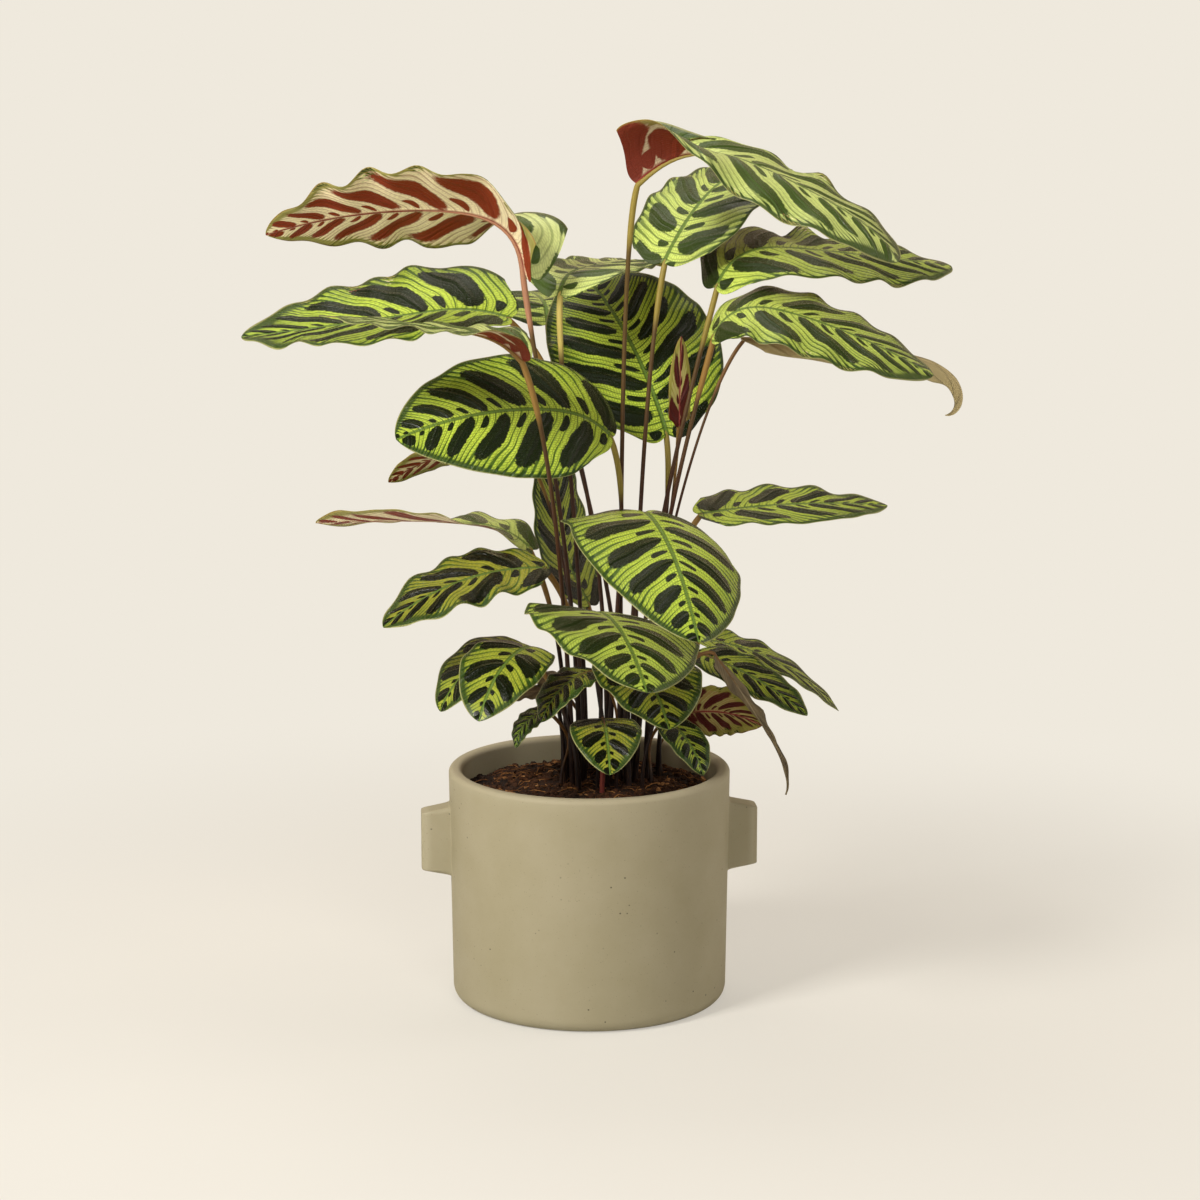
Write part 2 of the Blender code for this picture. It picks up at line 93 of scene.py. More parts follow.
def feed(tree: Tree, socket: bpy.types.NodeSocket, value: Any) -> None:
    """Set or link one socket.

    Args:
        tree: the node tree.
        socket: the socket.
        value: a number or an output; a node stands for its first output, a text for an
            sRGB colour, and None leaves the socket alone.
    """
    if isinstance(value, Node):
        value = next(out for out in value.outputs if out.enabled)
    if isinstance(value, bpy.types.NodeSocket):
        tree.links.new(value, socket)
    elif value is not None:
        socket.default_value = linear(value) if isinstance(value, str) else value


def add(tree: Tree, kind: str, *inputs: Any, named: Optional[dict] = None,
        **settings: Any) -> Node:
    """Add one shader node with its settings and links.

    Args:
        tree: the material's node tree.
        kind: the node's type without its ShaderNode prefix.
        inputs: what feeds the sockets in use, in order.
        named: what feeds sockets by name.
        settings: the node's own properties.

    Returns:
        The new node.
    """
    made = tree.nodes.new("ShaderNode" + kind)
    for name, value in settings.items():
        setattr(made, name, value)
    pairs = list(zip([socket for socket in made.inputs if socket.enabled], inputs))
    pairs += [(made.inputs[name], value) for name, value in (named or {}).items()]
    for socket, value in pairs:
        feed(tree, socket, value)
    return made


def lay(tree: Tree, colour: Any, *coats: tuple) -> Node:
    """Lay colours over one another.

    Args:
        tree: the material's node tree.
        colour: the lowest colour.
        coats: share, strength and colour of each coat, from below.

    Returns:
        The node that gives the mixed colour.
    """
    for share, strength, coat in coats:
        if strength != 1.0:
            share = add(tree, "Math", share, strength, operation="MULTIPLY")
        colour = add(tree, "Mix", share, colour, coat, data_type="RGBA")
    return colour


def start(name: str) -> tuple[Material, Tree]:
    """Start a material.

    Args:
        name: the material's name.

    Returns:
        The material and its node tree.
    """
    made = bpy.data.materials.new(name)
    made.use_nodes = True
    return made, made.node_tree


def dress(made: Material, colour: Any, height: Any, relief: float, strength: float,
          sockets: dict[str, Any]) -> Material:
    """Feed a material's shader.

    Args:
        made: the material.
        colour: its base colour.
        height: the height of its relief.
        relief: what a height of 1 stands for, in mm.
        strength: how strongly the relief shows.
        sockets: what feeds the shader's other sockets, by name.

    Returns:
        The material.
    """
    tree = made.node_tree
    bump = add(tree, "Bump", named={"Height": height, "Distance": relief * MM,
                                    "Strength": strength})
    shader = tree.nodes["Principled BSDF"]
    for name, value in {"Base Color": colour, "Normal": bump, **sockets}.items():
        feed(tree, shader.inputs[name], value)
    return made


def smooth(value: Array) -> Array:
    """The curve 3v^2 - 2v^3 on values held between 0 and 1."""
    held = np.clip(value, 0.0, 1.0)
    return held * held * (3.0 - 2.0 * held)


def bell(value: Array, width: float, power: float = 2) -> Array:
    """The bell curve exp(-(v / width)^power)."""
    return np.exp(-(value / width) ** power)


def lattice_noise(x: Array, y: Array, size: float, seed: int) -> Array:
    """Smooth noise from -1 to 1: random values on a square lattice, eased between.

    Args:
        x: first coordinate.
        y: second coordinate.
        size: lattice spacing.
        seed: picks the random values.

    Returns:
        The noise at each point.
    """
    table = np.random.default_rng(seed).uniform(-1.0, 1.0, (64, 64))
    column, row = x / size, y / size
    left, low = np.floor(column).astype(int), np.floor(row).astype(int)
    ease_x, ease_y = smooth(column - left), smooth(row - low)
    corner = [table[(left + i) % 64, (low + j) % 64] for i in (0, 1) for j in (0, 1)]
    near = corner[0] * (1 - ease_y) + corner[1] * ease_y
    far = corner[2] * (1 - ease_y) + corner[3] * ease_y
    return near * (1 - ease_x) + far * ease_x


def skin_faces(rows: int, columns: int) -> Array:
    """Quads between neighbouring points of a grid whose rows close on themselves.

    Args:
        rows: number of rows.
        columns: points in a row.

    Returns:
        One row of four point numbers for each quad.
    """
    row, column = np.meshgrid(np.arange(rows - 1), np.arange(columns), indexing="ij")
    after = (column + 1) % columns
    near, far = row * columns, (row + 1) * columns
    return np.stack([near + column, far + column, far + after, near + after],
                    axis=-1).reshape(-1, 4)


def turned_faces(rows: int, columns: int, flip: bool) -> list:
    """Faces of a turned form: the quads between its rings, and a cap at either end.

    Args:
        rows: number of rings.
        columns: points in a ring.
        flip: whether the quads of skin_faces point inwards here.

    Returns:
        The point numbers of each face, all wound the same way.
    """
    faces = skin_faces(rows, columns).tolist()
    faces += [list(range(columns)), list(range(rows * columns - 1,
                                               (rows - 1) * columns - 1, -1))]
    return [face[::-1] for face in faces] if flip else faces


def unit(vectors: Array) -> Array:
    """Scale each vector to length one."""
    return vectors / np.linalg.norm(vectors, axis=-1, keepdims=True)


def circles(ahead: Array, aside: tuple, sides: int) -> Array:
    """Circles of radius one, square to a path: cos(a) across + sin(a) upwards.

    Args:
        ahead: directions of the path, of length one.
        aside: a direction that the path never takes.
        sides: points on a circle.

    Returns:
        The points of each circle.
    """
    across = unit(np.cross(ahead, np.array(aside)))
    upwards = np.cross(across, ahead)
    angle = np.arange(sides) * TURN / sides
    return (np.cos(angle)[:, None] * across[..., None, :]
            + np.sin(angle)[:, None] * upwards[..., None, :])


@dataclass
class Piece:
    """One finished mesh of the object, ready to be placed.

    fields holds the points' values for each attribute name, and finish_of_face the
    number of each face's finish.  Edges steeper than sharp_above degrees stay sharp.
    """

    name: str
    points: Array
    faces: Sequence
    finishes: list
    replaces: str
    slot: str
    fields: Optional[dict] = None
    finish_of_face: Optional[Array] = None
    sharp_above: float = 180.0

    def place(self) -> None:
        """Put the mesh into the scene at the origin, riding on the body root."""
        mesh = bpy.data.meshes.new(self.name)
        mesh.from_pydata(self.points.reshape(-1, 3) * MM, [], self.faces)
        for name, values in (self.fields or {}).items():
            kind, key = ("FLOAT_VECTOR", "vector") if values.ndim == 2 else ("FLOAT", "value")
            layer = mesh.attributes.new(name, kind, "POINT")
            layer.data.foreach_set(key, values.astype(np.float32).ravel())
        for finish in self.finishes:
            mesh.materials.append(finish)
        if self.finish_of_face is not None:
            mesh.polygons.foreach_set("material_index", self.finish_of_face.astype(np.int32))
        mesh.update()
        mesh.shade_smooth()
        if self.sharp_above < 180.0:
            mesh.set_sharp_from_angle(angle=math.radians(self.sharp_above))
        made = bpy.data.objects.new(self.name, mesh)
        bpy.context.scene.collection.objects.link(made)
        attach(made, "root")
        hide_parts(self.replaces)
        LOG.info("%s: %d faces", self.name, len(mesh.polygons))


# ----------------------------------------------------------------- finishes

@dataclass(frozen=True)
class PeacockMarks:
    """The marks of a peacock leaf, drawn along its side veins.

    Large and small ovals take turns along the rib, left and right out of step.  Fine
    veins run between them and widen into a band along the margin.  An oval is given by
    its width at the rib, its growth outwards, its middle and its reach: the first two
    are shares of one spacing of the large ovals, the others of the half blade.  The
    rest is in mm.  With base_growth the ovals grow together at the leaf's base.
    """

    large: tuple = (0.22, 0.13, 0.46, 0.40)
    small: tuple = (0.05, 0.20, 0.19, 0.13)
    strokes_per_spacing: int = 6
    stroke_widths: tuple = (0.16, 0.85)
    net_per_spacing: float = 12.0
    net_step: float = 2.0
    band: float = 3.2
    softness: float = 0.10
    base_growth: float = 0.0

    @staticmethod
    def off_middle(tree: Tree, place: Any, scale: Any) -> Node:
        """How far a place is from the middle of its cell: |fract(p) - 0.5| scale.

        Args:
            tree: the material's node tree.
            place: place, in cells.
            scale: length of a cell.

        Returns:
            A node that gives the distance.
        """
        cell = add(tree, "Math", place, operation="FRACT")
        cell = add(tree, "Math", cell, 0.5, operation="SUBTRACT")
        cell = add(tree, "Math", cell, operation="ABSOLUTE")
        return add(tree, "Math", cell, scale, operation="MULTIPLY")

    def oval(self, tree: Tree, place: Node, across: Node, rough: Node, foot: Any,
             shape: tuple) -> Node:
        """One kind of oval: (f / w)^2 + |(a - c) / r|^3 < 1, with w growing outwards.

        Args:
            tree: the material's node tree.
            place: distance along the rib in spacings, the oval's middle at each half.
            across: share of the half blade, 0 at the rib.
            rough: noise that frays the outline.
            foot: 1 at the base of the leaf.
            shape: width at the rib, its growth, the middle and the reach.

        Returns:
            A node that gives 1 inside the ovals and 0 outside.
        """
        width, growth, middle, reach = shape
        cell = add(tree, "Math", place, operation="FRACT")
        offset = add(tree, "Math", cell, 0.5, operation="SUBTRACT")
        number = add(tree, "Math", place, operation="FLOOR")
        chance = add(tree, "TexWhiteNoise", number, noise_dimensions="1D")
        length = add(tree, "Math", chance, 0.32 * reach, 0.84 * reach,
                     operation="MULTIPLY_ADD")
        width = add(tree, "Math", across, growth, width, operation="MULTIPLY_ADD")
        sideways = add(tree, "Math", offset, width, operation="DIVIDE")
        outwards = add(tree, "Math", across, middle, operation="SUBTRACT")
        outwards = add(tree, "Math", outwards, length, operation="DIVIDE")
        outwards = add(tree, "Math", outwards, operation="ABSOLUTE")
        outwards = add(tree, "Math", outwards, 3.0, operation="POWER")
        total = add(tree, "Math", sideways, sideways, outwards, operation="MULTIPLY_ADD")
        total = add(tree, "Math", rough, 0.8, total, operation="MULTIPLY_ADD")
        total = add(tree, "Math", foot, -self.base_growth, total, operation="MULTIPLY_ADD")
        # The fraying adds 0.4 on average, so the outline lies at 1.4.
        return add(tree, "MapRange", total, 1.4 + self.softness, 1.4 - self.softness, **EASED)

    def draw(self, tree: Tree) -> dict[str, Any]:
        """Lay out every mark.  Noise reads places in mm: 0.05 gives clouds of 20 mm.

        Args:
            tree: the material's node tree.

        Returns:
            A node for each mark by name, from 0 to 1.
        """
        flat = add(tree, "Attribute", attribute_name="flat")
        vein = add(tree, "SeparateXYZ", add(tree, "Attribute", attribute_name="vein"))
        style = add(tree, "SeparateXYZ", add(tree, "Attribute", attribute_name="style"))
        rib_width = add(tree, "Attribute", attribute_name="rib_width").outputs["Fac"]
        foot = add(tree, "Attribute", attribute_name="foot").outputs["Fac"]
        spacing, phase, tone = style.outputs
        counted, signed, half_width = vein.outputs
        across = add(tree, "Math", signed, operation="ABSOLUTE")
        right = add(tree, "Math", signed, 0.0, operation="GREATER_THAN")

        drift = add(tree, "TexNoise", flat, 0.03, 1.0, 0.5)
        frayed = add(tree, "TexNoise", flat, 0.45, 3.0, 0.6)
        clouds = add(tree, "TexNoise", flat, 0.05, 2.0, 0.5)
        place = add(tree, "Math", right, 0.5, counted, operation="MULTIPLY_ADD")
        place = add(tree, "Math", place, phase, operation="ADD")
        place = add(tree, "Math", drift, 0.3, place, operation="MULTIPLY_ADD")
        between = add(tree, "Math", place, 0.5, operation="ADD")

        from_rib = add(tree, "Math", across, half_width, operation="MULTIPLY")
        inwards = add(tree, "Math", 1.0, across, operation="SUBTRACT")
        width = add(tree, "Math", half_width, 14.0, operation="MAXIMUM")
        from_edge = add(tree, "Math", inwards, width, operation="MULTIPLY")

        crease = self.off_middle(tree, place, spacing)
        crease = add(tree, "MapRange", crease, 0.0, 2.2, 1.0, 0.0)

        count = float(self.strokes_per_spacing)
        line = add(tree, "Math", place, count, operation="MULTIPLY")
        number = add(tree, "Math", line, operation="FLOOR")
        chance = add(tree, "TexWhiteNoise", number, noise_dimensions="1D")
        vary = add(tree, "Math", chance, 1.3, 0.3, operation="MULTIPLY_ADD")
        line = self.off_middle(tree, line, spacing)
        line = add(tree, "Math", line, 1.0 / count, operation="MULTIPLY")
        inner = add(tree, "MapRange", across, 0.35, 1.0, *self.stroke_widths, **EASED)
        inner = add(tree, "Math", inner, vary, operation="MULTIPLY")
        outer = add(tree, "Math", inner, 0.35, operation="ADD")
        strokes = add(tree, "MapRange", line, outer, inner)

        step = add(tree, "Math", place, self.net_per_spacing, operation="MULTIPLY")
        rung = add(tree, "Math", from_rib, 1.0 / self.net_step, operation="MULTIPLY")
        cells = add(tree, "TexVoronoi", add(tree, "CombineXYZ", step, rung),
                    named={"Scale": 1.0, "Randomness": 0.4}, voronoi_dimensions="2D",
                    feature="DISTANCE_TO_EDGE")
        net = add(tree, "MapRange", cells, 0.04, 0.2, 1.0, 0.0)
        room = add(tree, "MapRange", half_width, 6.0, 20.0)
        net = add(tree, "Math", net, room, operation="MULTIPLY")
        furrows = add(tree, "Math", strokes, room, operation="MULTIPLY")

        ragged = add(tree, "Math", strokes, -2.2, from_edge, operation="MULTIPLY_ADD")
        ragged = add(tree, "Math", clouds, 2.5, ragged, operation="MULTIPLY_ADD")
        band = add(tree, "MapRange", ragged, self.band + 1.9, self.band + 0.4, **EASED)
        ratio = add(tree, "Math", from_rib, rib_width, operation="DIVIDE")
        large = self.oval(tree, place, across, frayed, foot, self.large)
        small = self.oval(tree, between, across, frayed, foot, self.small)
        return {"flat": flat, "clouds": clouds, "grain": frayed, "strokes": strokes,
                "furrows": furrows, "net": net, "band": band, "crease": crease,
                "edge": add(tree, "MapRange", from_edge, 0.7, 0.25),
                "rib": add(tree, "MapRange", ratio, 1.3, 0.8, **EASED),
                "flank": add(tree, "MapRange", ratio, 3.4, 1.5, **EASED),
                "ovals": add(tree, "Math", large, small, operation="MAXIMUM"),
                "deep": add(tree, "MapRange", across, 0.5, 1.0),
                # Tips and small leaves take on more vein green: partly their own colour, partly
                # painted shade on the small leaves low in the plant.
                "narrow_tint_and_painted_shade": add(tree, "MapRange", half_width, 26.0, 6.0),
                "foot": foot, "tone": tone,
                "younger": add(tree, "MapRange", tone, 0.0, 1.0),
                # Below 0, tone stands for an older leaf's colour, and on leaves low in the plant
                # partly for painted shade.
                "older_and_shaded": add(tree, "MapRange", tone, 0.0, -1.0)}


@dataclass(frozen=True)
class LivingLeaf:
    """A living leaf, a soft waxy skin over cells full of green pigment.

    The wax gives a satin shine above, and a pale bloom where the leaf is seen from
    its edge.  Underneath, the skin is duller and its marks are maroon, because it
    holds a red pigment that the upper side lacks.  A pair holds the two ends of a
    range.  Names with young are for young leaves, and a strength is a share of a
    mark's own colour.
    """

    name: str
    ground: tuple
    young: str
    aged_and_shaded: str
    mark: tuple
    young_mark: str
    young_lines: float
    vein: str
    deep_strength: float
    stroke_strength: float
    net_strength: float
    band: str
    edge: str
    flank: str
    rib: str
    foot: str
    foot_strength: float
    roughness: tuple
    relief: float
    shine: float
    bloom: float
    bloom_tint: str = "#e6e8a8"
    marks: PeacockMarks = PeacockMarks()

    def build(self) -> Material:
        """Make the material: ground, fine veins, ovals, band, then the rib on top.

        Returns:
            The material.
        """
        made, tree = start(self.name)
        marks = self.marks.draw(tree)
        younger, older_and_shaded = marks["younger"], marks["older_and_shaded"]
        faint = add(tree, "MapRange", marks["tone"], 0.0, 1.0, 1.0, self.young_lines)
        for mark in ("strokes", "net", "deep", "narrow_tint_and_painted_shade"):
            marks[mark] = add(tree, "Math", marks[mark], faint, operation="MULTIPLY")
        # With tone below 0 the marks darken and the ground turns olive: an older leaf's colour,
        # and partly painted shade on leaves low in the plant.
        dark = lay(tree, self.mark[0], (marks["grain"], 1.0, self.mark[1]),
                   (younger, 1.0, self.young_mark), (older_and_shaded, 1.0, self.foot))
        colour = lay(tree, self.ground[0], (marks["clouds"], 1.0, self.ground[1]),
                     (younger, 1.0, self.young), (older_and_shaded, 1.0, self.aged_and_shaded),
                     (marks["deep"], self.deep_strength, self.vein),
                     # Narrow parts darken: partly the tips' own colour, partly painted shade on
                     # small leaves low in the plant.
                     (marks["narrow_tint_and_painted_shade"], self.deep_strength, self.vein),
                     (marks["net"], self.net_strength, self.vein),
                     (marks["strokes"], self.stroke_strength, self.vein),
                     (marks["flank"], 0.75, self.flank), (marks["band"], 0.9, self.band),
                     (marks["ovals"], 1.0, dark),
                     (marks["foot"], self.foot_strength, self.foot),
                     (marks["rib"], 1.0, self.rib), (marks["edge"], 0.8, self.edge))
        fine = add(tree, "TexNoise", marks["flat"], 1.4, 2.0, 0.6)
        height = add(tree, "Math", fine, 0.3, operation="MULTIPLY")
        for mark, depth in (("furrows", -0.5), ("net", -0.3), ("crease", 1.6), ("rib", -0.8)):
            height = add(tree, "Math", marks[mark], depth, height, operation="MULTIPLY_ADD")
        gloss = add(tree, "MapRange", fine, 0.3, 0.7, *self.roughness)
        return dress(made, colour, height, self.relief, 0.8, {
            "Roughness": gloss, "Specular IOR Level": self.shine, "Sheen Weight": self.bloom,
            "Sheen Roughness": 0.3, "Sheen Tint": self.bloom_tint})


@dataclass(frozen=True)
class WitheredLeaf:
    """A dead leaf: the cells have dried out, so it is matt, brown grey and creased."""

    name: str = "withered_leaf"
    brown: str = "#907c56"
    grey: str = "#5d5140"
    straw: str = "#b5a47c"
    dull: str = "#4f4838"
    pale: str = "#cbbc88"

    def build(self) -> Material:
        """Make the material: clouds of brown and grey, creased along the side veins.

        Returns:
            The material.
        """
        made, tree = start(self.name)
        marks = PeacockMarks().draw(tree)
        cloud = add(tree, "MapRange", marks["clouds"], 0.35, 0.65)
        colour = lay(tree, self.brown, (cloud, 1.0, self.grey),
                     (marks["strokes"], 0.45, self.straw), (marks["ovals"], 0.35, self.grey),
                     (marks["rib"], 1.0, self.straw), (marks["older_and_shaded"], 1.0, self.dull),
                     (marks["younger"], 1.0, self.pale))
        height = add(tree, "Math", marks["crease"], 1.5, marks["grain"],
                     operation="MULTIPLY_ADD")
        return dress(made, colour, height, 0.9, 0.7, {"Roughness": 0.85})


@dataclass(frozen=True)
class StalkSkin:
    """A leaf stalk: firm, fibrous and smooth, dark maroon low down.

    The last few centimetres under the blade are a joint that turns the leaf to the
    light.  It is thicker, paler and slightly velvety.
    """

    name: str = "dark_stalk"
    foot: str = "#1c0a07"
    middle: str = "#3d1f0d"
    upper: str = "#57431a"
    speck: str = "#5f421e"

    def build(self) -> Material:
        """Make the material: foot, middle and upper colours, then the joint's tint.

        Returns:
            The material.
        """
        made, tree = start(self.name)
        run = add(tree, "SeparateXYZ", add(tree, "Attribute", attribute_name="run"))
        flat = add(tree, "Attribute", attribute_name="streak")
        streak = add(tree, "TexNoise", flat, 1.0, 3.0, 0.6)
        clouds = add(tree, "TexNoise", flat, 0.25, 2.0, 0.5)
        height = add(tree, "Math", clouds, 60.0, run.outputs[0], operation="MULTIPLY_ADD")
        low = add(tree, "MapRange", height, 60.0, 260.0, **EASED)
        high = add(tree, "MapRange", height, 230.0, 430.0, **EASED)
        specks = add(tree, "MapRange", streak, 0.52, 0.72, 0.0, 0.5)
        joint = add(tree, "MapRange", run.outputs[1], 52.0, 36.0, **EASED)
        tint = add(tree, "Attribute", attribute_name="tint")
        colour = lay(tree, self.foot, (low, 1.0, self.middle), (high, 1.0, self.upper),
                     (specks, 1.0, self.speck), (joint, 1.0, tint))
        gloss = add(tree, "MapRange", streak, 0.3, 0.7, 0.42, 0.62)
        return dress(made, colour, streak, 0.25, 0.5,
                     {"Roughness": gloss, "Specular IOR Level": 0.35})


@dataclass(frozen=True)
class Stoneware:
    """Stoneware with a dry matt glaze: fired clay whose iron specks show through.

    The glaze has no clear gloss.  It pools a little, so its tone drifts over a few
    centimetres, and it is thinner and warmer on edges.
    """

    name: str = "sage_stoneware"
    glaze: str = "#989178"
    pooled: str = "#928b70"
    thin: str = "#a59e86"
    speck: str = "#6b6048"
    pinhole: str = "#3e3828"

    def build(self) -> Material:
        """Make the material: drifting tone, thin edges, specks, grain and pinholes.

        Scales are per metre: the tone drifts over 45 mm, the specks lie 2 mm apart,
        the grain is 0.7 mm, and pinholes 1 mm wide lie 8 mm apart in a few groups.

        Returns:
            The material.
        """
        made, tree = start(self.name)
        place = add(tree, "TexCoord").outputs["Object"]
        drift = add(tree, "TexNoise", place, 22.0, 4.0, 0.6)
        grain = add(tree, "TexNoise", place, 1500.0, 3.0, 0.6)
        pooled = add(tree, "MapRange", drift, 0.35, 0.7)
        edge = add(tree, "Attribute", attribute_name="edge").outputs["Fac"]
        spot = add(tree, "TexVoronoi", place, 420.0)
        spot = add(tree, "MapRange", spot, 0.10, 0.22, 0.6, 0.0)
        some = add(tree, "MapRange", grain, 0.52, 0.6)
        spot = add(tree, "Math", spot, some, operation="MULTIPLY")
        hole = add(tree, "TexVoronoi", place, 130.0)
        hole = add(tree, "MapRange", hole, 0.06, 0.10, 1.0, 0.0)
        group = add(tree, "TexNoise", place, 16.0, 1.0, 0.5)
        some = add(tree, "MapRange", group, 0.50, 0.58, 0.0, 0.85)
        hole = add(tree, "Math", hole, some, operation="MULTIPLY")
        colour = lay(tree, self.glaze, (pooled, 1.0, self.pooled), (edge, 0.7, self.thin),
                     (spot, 1.0, self.speck), (hole, 1.0, self.pinhole))
        height = add(tree, "Math", drift, 3.0, grain, operation="MULTIPLY_ADD")
        height = add(tree, "Math", hole, -3.0, height, operation="MULTIPLY_ADD")
        gloss = add(tree, "MapRange", grain, 0.3, 0.7, 0.55, 0.72)
        return dress(made, colour, height, 0.15, 0.4,
                     {"Roughness": gloss, "Specular IOR Level": 0.35})


@dataclass(frozen=True)
class Compost:
    """Moist coconut fibre compost: matt, near black in its pores, red brown on top.

    grain_size and relief are in mm.
    """

    name: str
    dark: str
    light: str
    grain_size: float
    relief: float

    def build(self) -> Material:
        """Make the material: two browns by grain and by patches of 25 mm.

        Returns:
            The material.
        """
        made, tree = start(self.name)
        place = add(tree, "TexCoord").outputs["Object"]
        clumps = add(tree, "TexNoise", place, 1000.0 / self.grain_size, 5.0, 0.65)
        patches = add(tree, "TexNoise", place, 40.0, 2.0, 0.5)
        tone = add(tree, "Math", clumps, patches, operation="MULTIPLY")
        share = add(tree, "MapRange", tone, 0.14, 0.38)
        colour = lay(tree, self.dark, (share, 1.0, self.light))
        return dress(made, colour, clumps, self.relief, 0.8,
                     {"Roughness": 0.9, "Specular IOR Level": 0.25})


@dataclass(frozen=True)
class SpearSkin:
    """A leaf that is still rolled: only its maroon underside shows, with faint veins."""

    name: str = "maroon_shoot"
    maroon: str = "#5a1c1a"
    rosy: str = "#8f4234"

    def build(self) -> Material:
        """Make the material: fine lengthwise lines between two maroons.

        Returns:
            The material.
        """
        made, tree = start(self.name)
        flat = add(tree, "Attribute", attribute_name="streak")
        lines = add(tree, "TexNoise", flat, 1.2, 3.0, 0.6)
        share = add(tree, "MapRange", lines, 0.35, 0.7)
        colour = lay(tree, self.maroon, (share, 1.0, self.rosy))
        return dress(made, colour, lines, 0.2, 1.0, {"Roughness": 0.5})


# On the upper side, foot is only the near black that the marks darken to on leaves with tone below
# 0: an older leaf's colour, and partly painted shade.
UPPER_SIDE = LivingLeaf(
    name="leaf_upper_side", ground=("#c8dc50", "#acc53f"), young="#dae49c", aged_and_shaded="#94892c",
    mark=("#0b1305", "#19270b"), young_mark="#4d6428", young_lines=0.35, vein="#3d591c",
    deep_strength=0.3, stroke_strength=0.95, net_strength=0.6, band="#283f16",
    edge="#a8a96c", flank="#324e1d", rib="#5f7c33", foot="#070b04", foot_strength=0.0,
    roughness=(0.19, 0.31), relief=0.6, shine=0.19, bloom=0.11)
# The underside's ground is lighter than its own colour, to stand in for light that shines through
# the leaf: painted light.
UNDER_SIDE = LivingLeaf(
    name="leaf_under_side", ground=("#f8f1ca", "#ece4b2"), young="#fbefc7", aged_and_shaded="#b0ae68",
    mark=("#6a2412", "#8e4028"), young_mark="#86341a", young_lines=1.0, vein="#96603a",
    deep_strength=0.05, stroke_strength=0.5, net_strength=0.3, band="#8d8a3c",
    edge="#8a6a30", flank="#b98a6a", rib="#8a3a34", foot="#4c140c", foot_strength=0.55,
    roughness=(0.45, 0.58), relief=0.6, shine=0.2, bloom=0.0,
    marks=PeacockMarks(softness=0.25, base_growth=1.6))


# --------------------------------------------------------------- the leaves

class Tint(Enum):
    """Colour of the joint between a stalk and its blade."""

    OLIVE = "#8a7a34"
    ORANGE = "#84642c"
    YELLOW = "#c2b060"
    PINK = "#a37458"
    BROWN = "#6b4a22"


@dataclass
class Leaf:
    """One leaf: where its blade starts, how it runs, and its stalk's foot.

    Lengths are in mm, and a pair is for the left and the right half.
    base: start of the midrib.  foot: where the stalk stands.  heading: compass angle of
    the midrib, 0 to the right, 90 to the back.  rise: pitch at the base, easing to level
    over the settle fraction, while droop is lost along the blade to the power bend and
    hook at the very tip.  roll, from roll_base at the base, turns the right half down,
    and twist adds to it along the blade.  fold, from fold_base at the base, lifts both
    halves, and curl bends each further.  fullness and taper: how blunt base and tip are.
    lobe: how far the halves reach back past the base.  sweep: how far the side veins
    lean to the tip.  elbow and dip: how far the stalk keeps to the blade's own direction
    at its top, and how steeply it drops there.  lean: share by which it sets out straight
    for the blade instead of upwards.
    spacing and phase: distance between large marks, and their shift.  tone: above 0 a
    share of paler, younger green, below 0 of older olive with darker marks; on leaves
    low in the plant the tone below 0 is partly painted shade.  wave: scale of the
    margin's waves.  ear: how far the corners at the base stick out.  waist: share that
    the halves lose close to the base, and how far along.  blush: how far the marks grow
    together at the base.  one_piece: grown in one solid with its stalk.  dry: dead.
    rolled: only the underside shows.
    """

    name: str
    base: tuple
    foot: tuple
    heading: float
    length: float
    width: float
    rise: float
    droop: float
    level: Optional[float] = None
    bend: float = 1.0
    hook: float = 0.0
    settle: float = 0.18
    roll: float = 0.0
    roll_base: Optional[float] = None
    twist: float = 0.0
    fold: float = 10.0
    fold_base: Optional[float] = None
    curl: tuple = (-20.0, -20.0)
    fullness: float = 0.4
    taper: float = 0.66
    lobe: float = 0.03
    sweep: float = 0.24
    elbow: float = 28.0
    dip: float = 1.0
    lean: float = 0.0
    one_piece: bool = False
    dry: bool = False
    spacing: Optional[float] = None
    phase: float = 0.0
    tone: float = 0.0
    wave: float = 1.0
    ear: float = 2.0
    waist: tuple = (0.0, 0.0, 0.2)
    blush: float = 1.0
    rolled: bool = False
    tint: Tint = Tint.ORANGE

    def __post_init__(self) -> None:
        """Fill in what follows from the other fields."""
        self.level = self.rise if self.level is None else self.level
        self.roll_base = self.roll if self.roll_base is None else self.roll_base
        self.fold_base = self.fold if self.fold_base is None else self.fold_base
        self.spacing = self.length / 6.5 if self.spacing is None else self.spacing
        if self.one_piece or self.dry:
            self.tint = Tint.BROWN

    @property
    def node(self) -> str:
        """Name of the solid that holds the blade."""
        return "leaf_" + self.name

    @property
    def slim(self) -> float:
        """Scale of a stalk: small leaves have thinner ones."""
        return 0.65 if self.one_piece or self.width <= 40 else 1.0

    @property
    def slot(self) -> str:
        """Slot of the blade."""
        return "withered_leaf" if self.dry else "leaf"


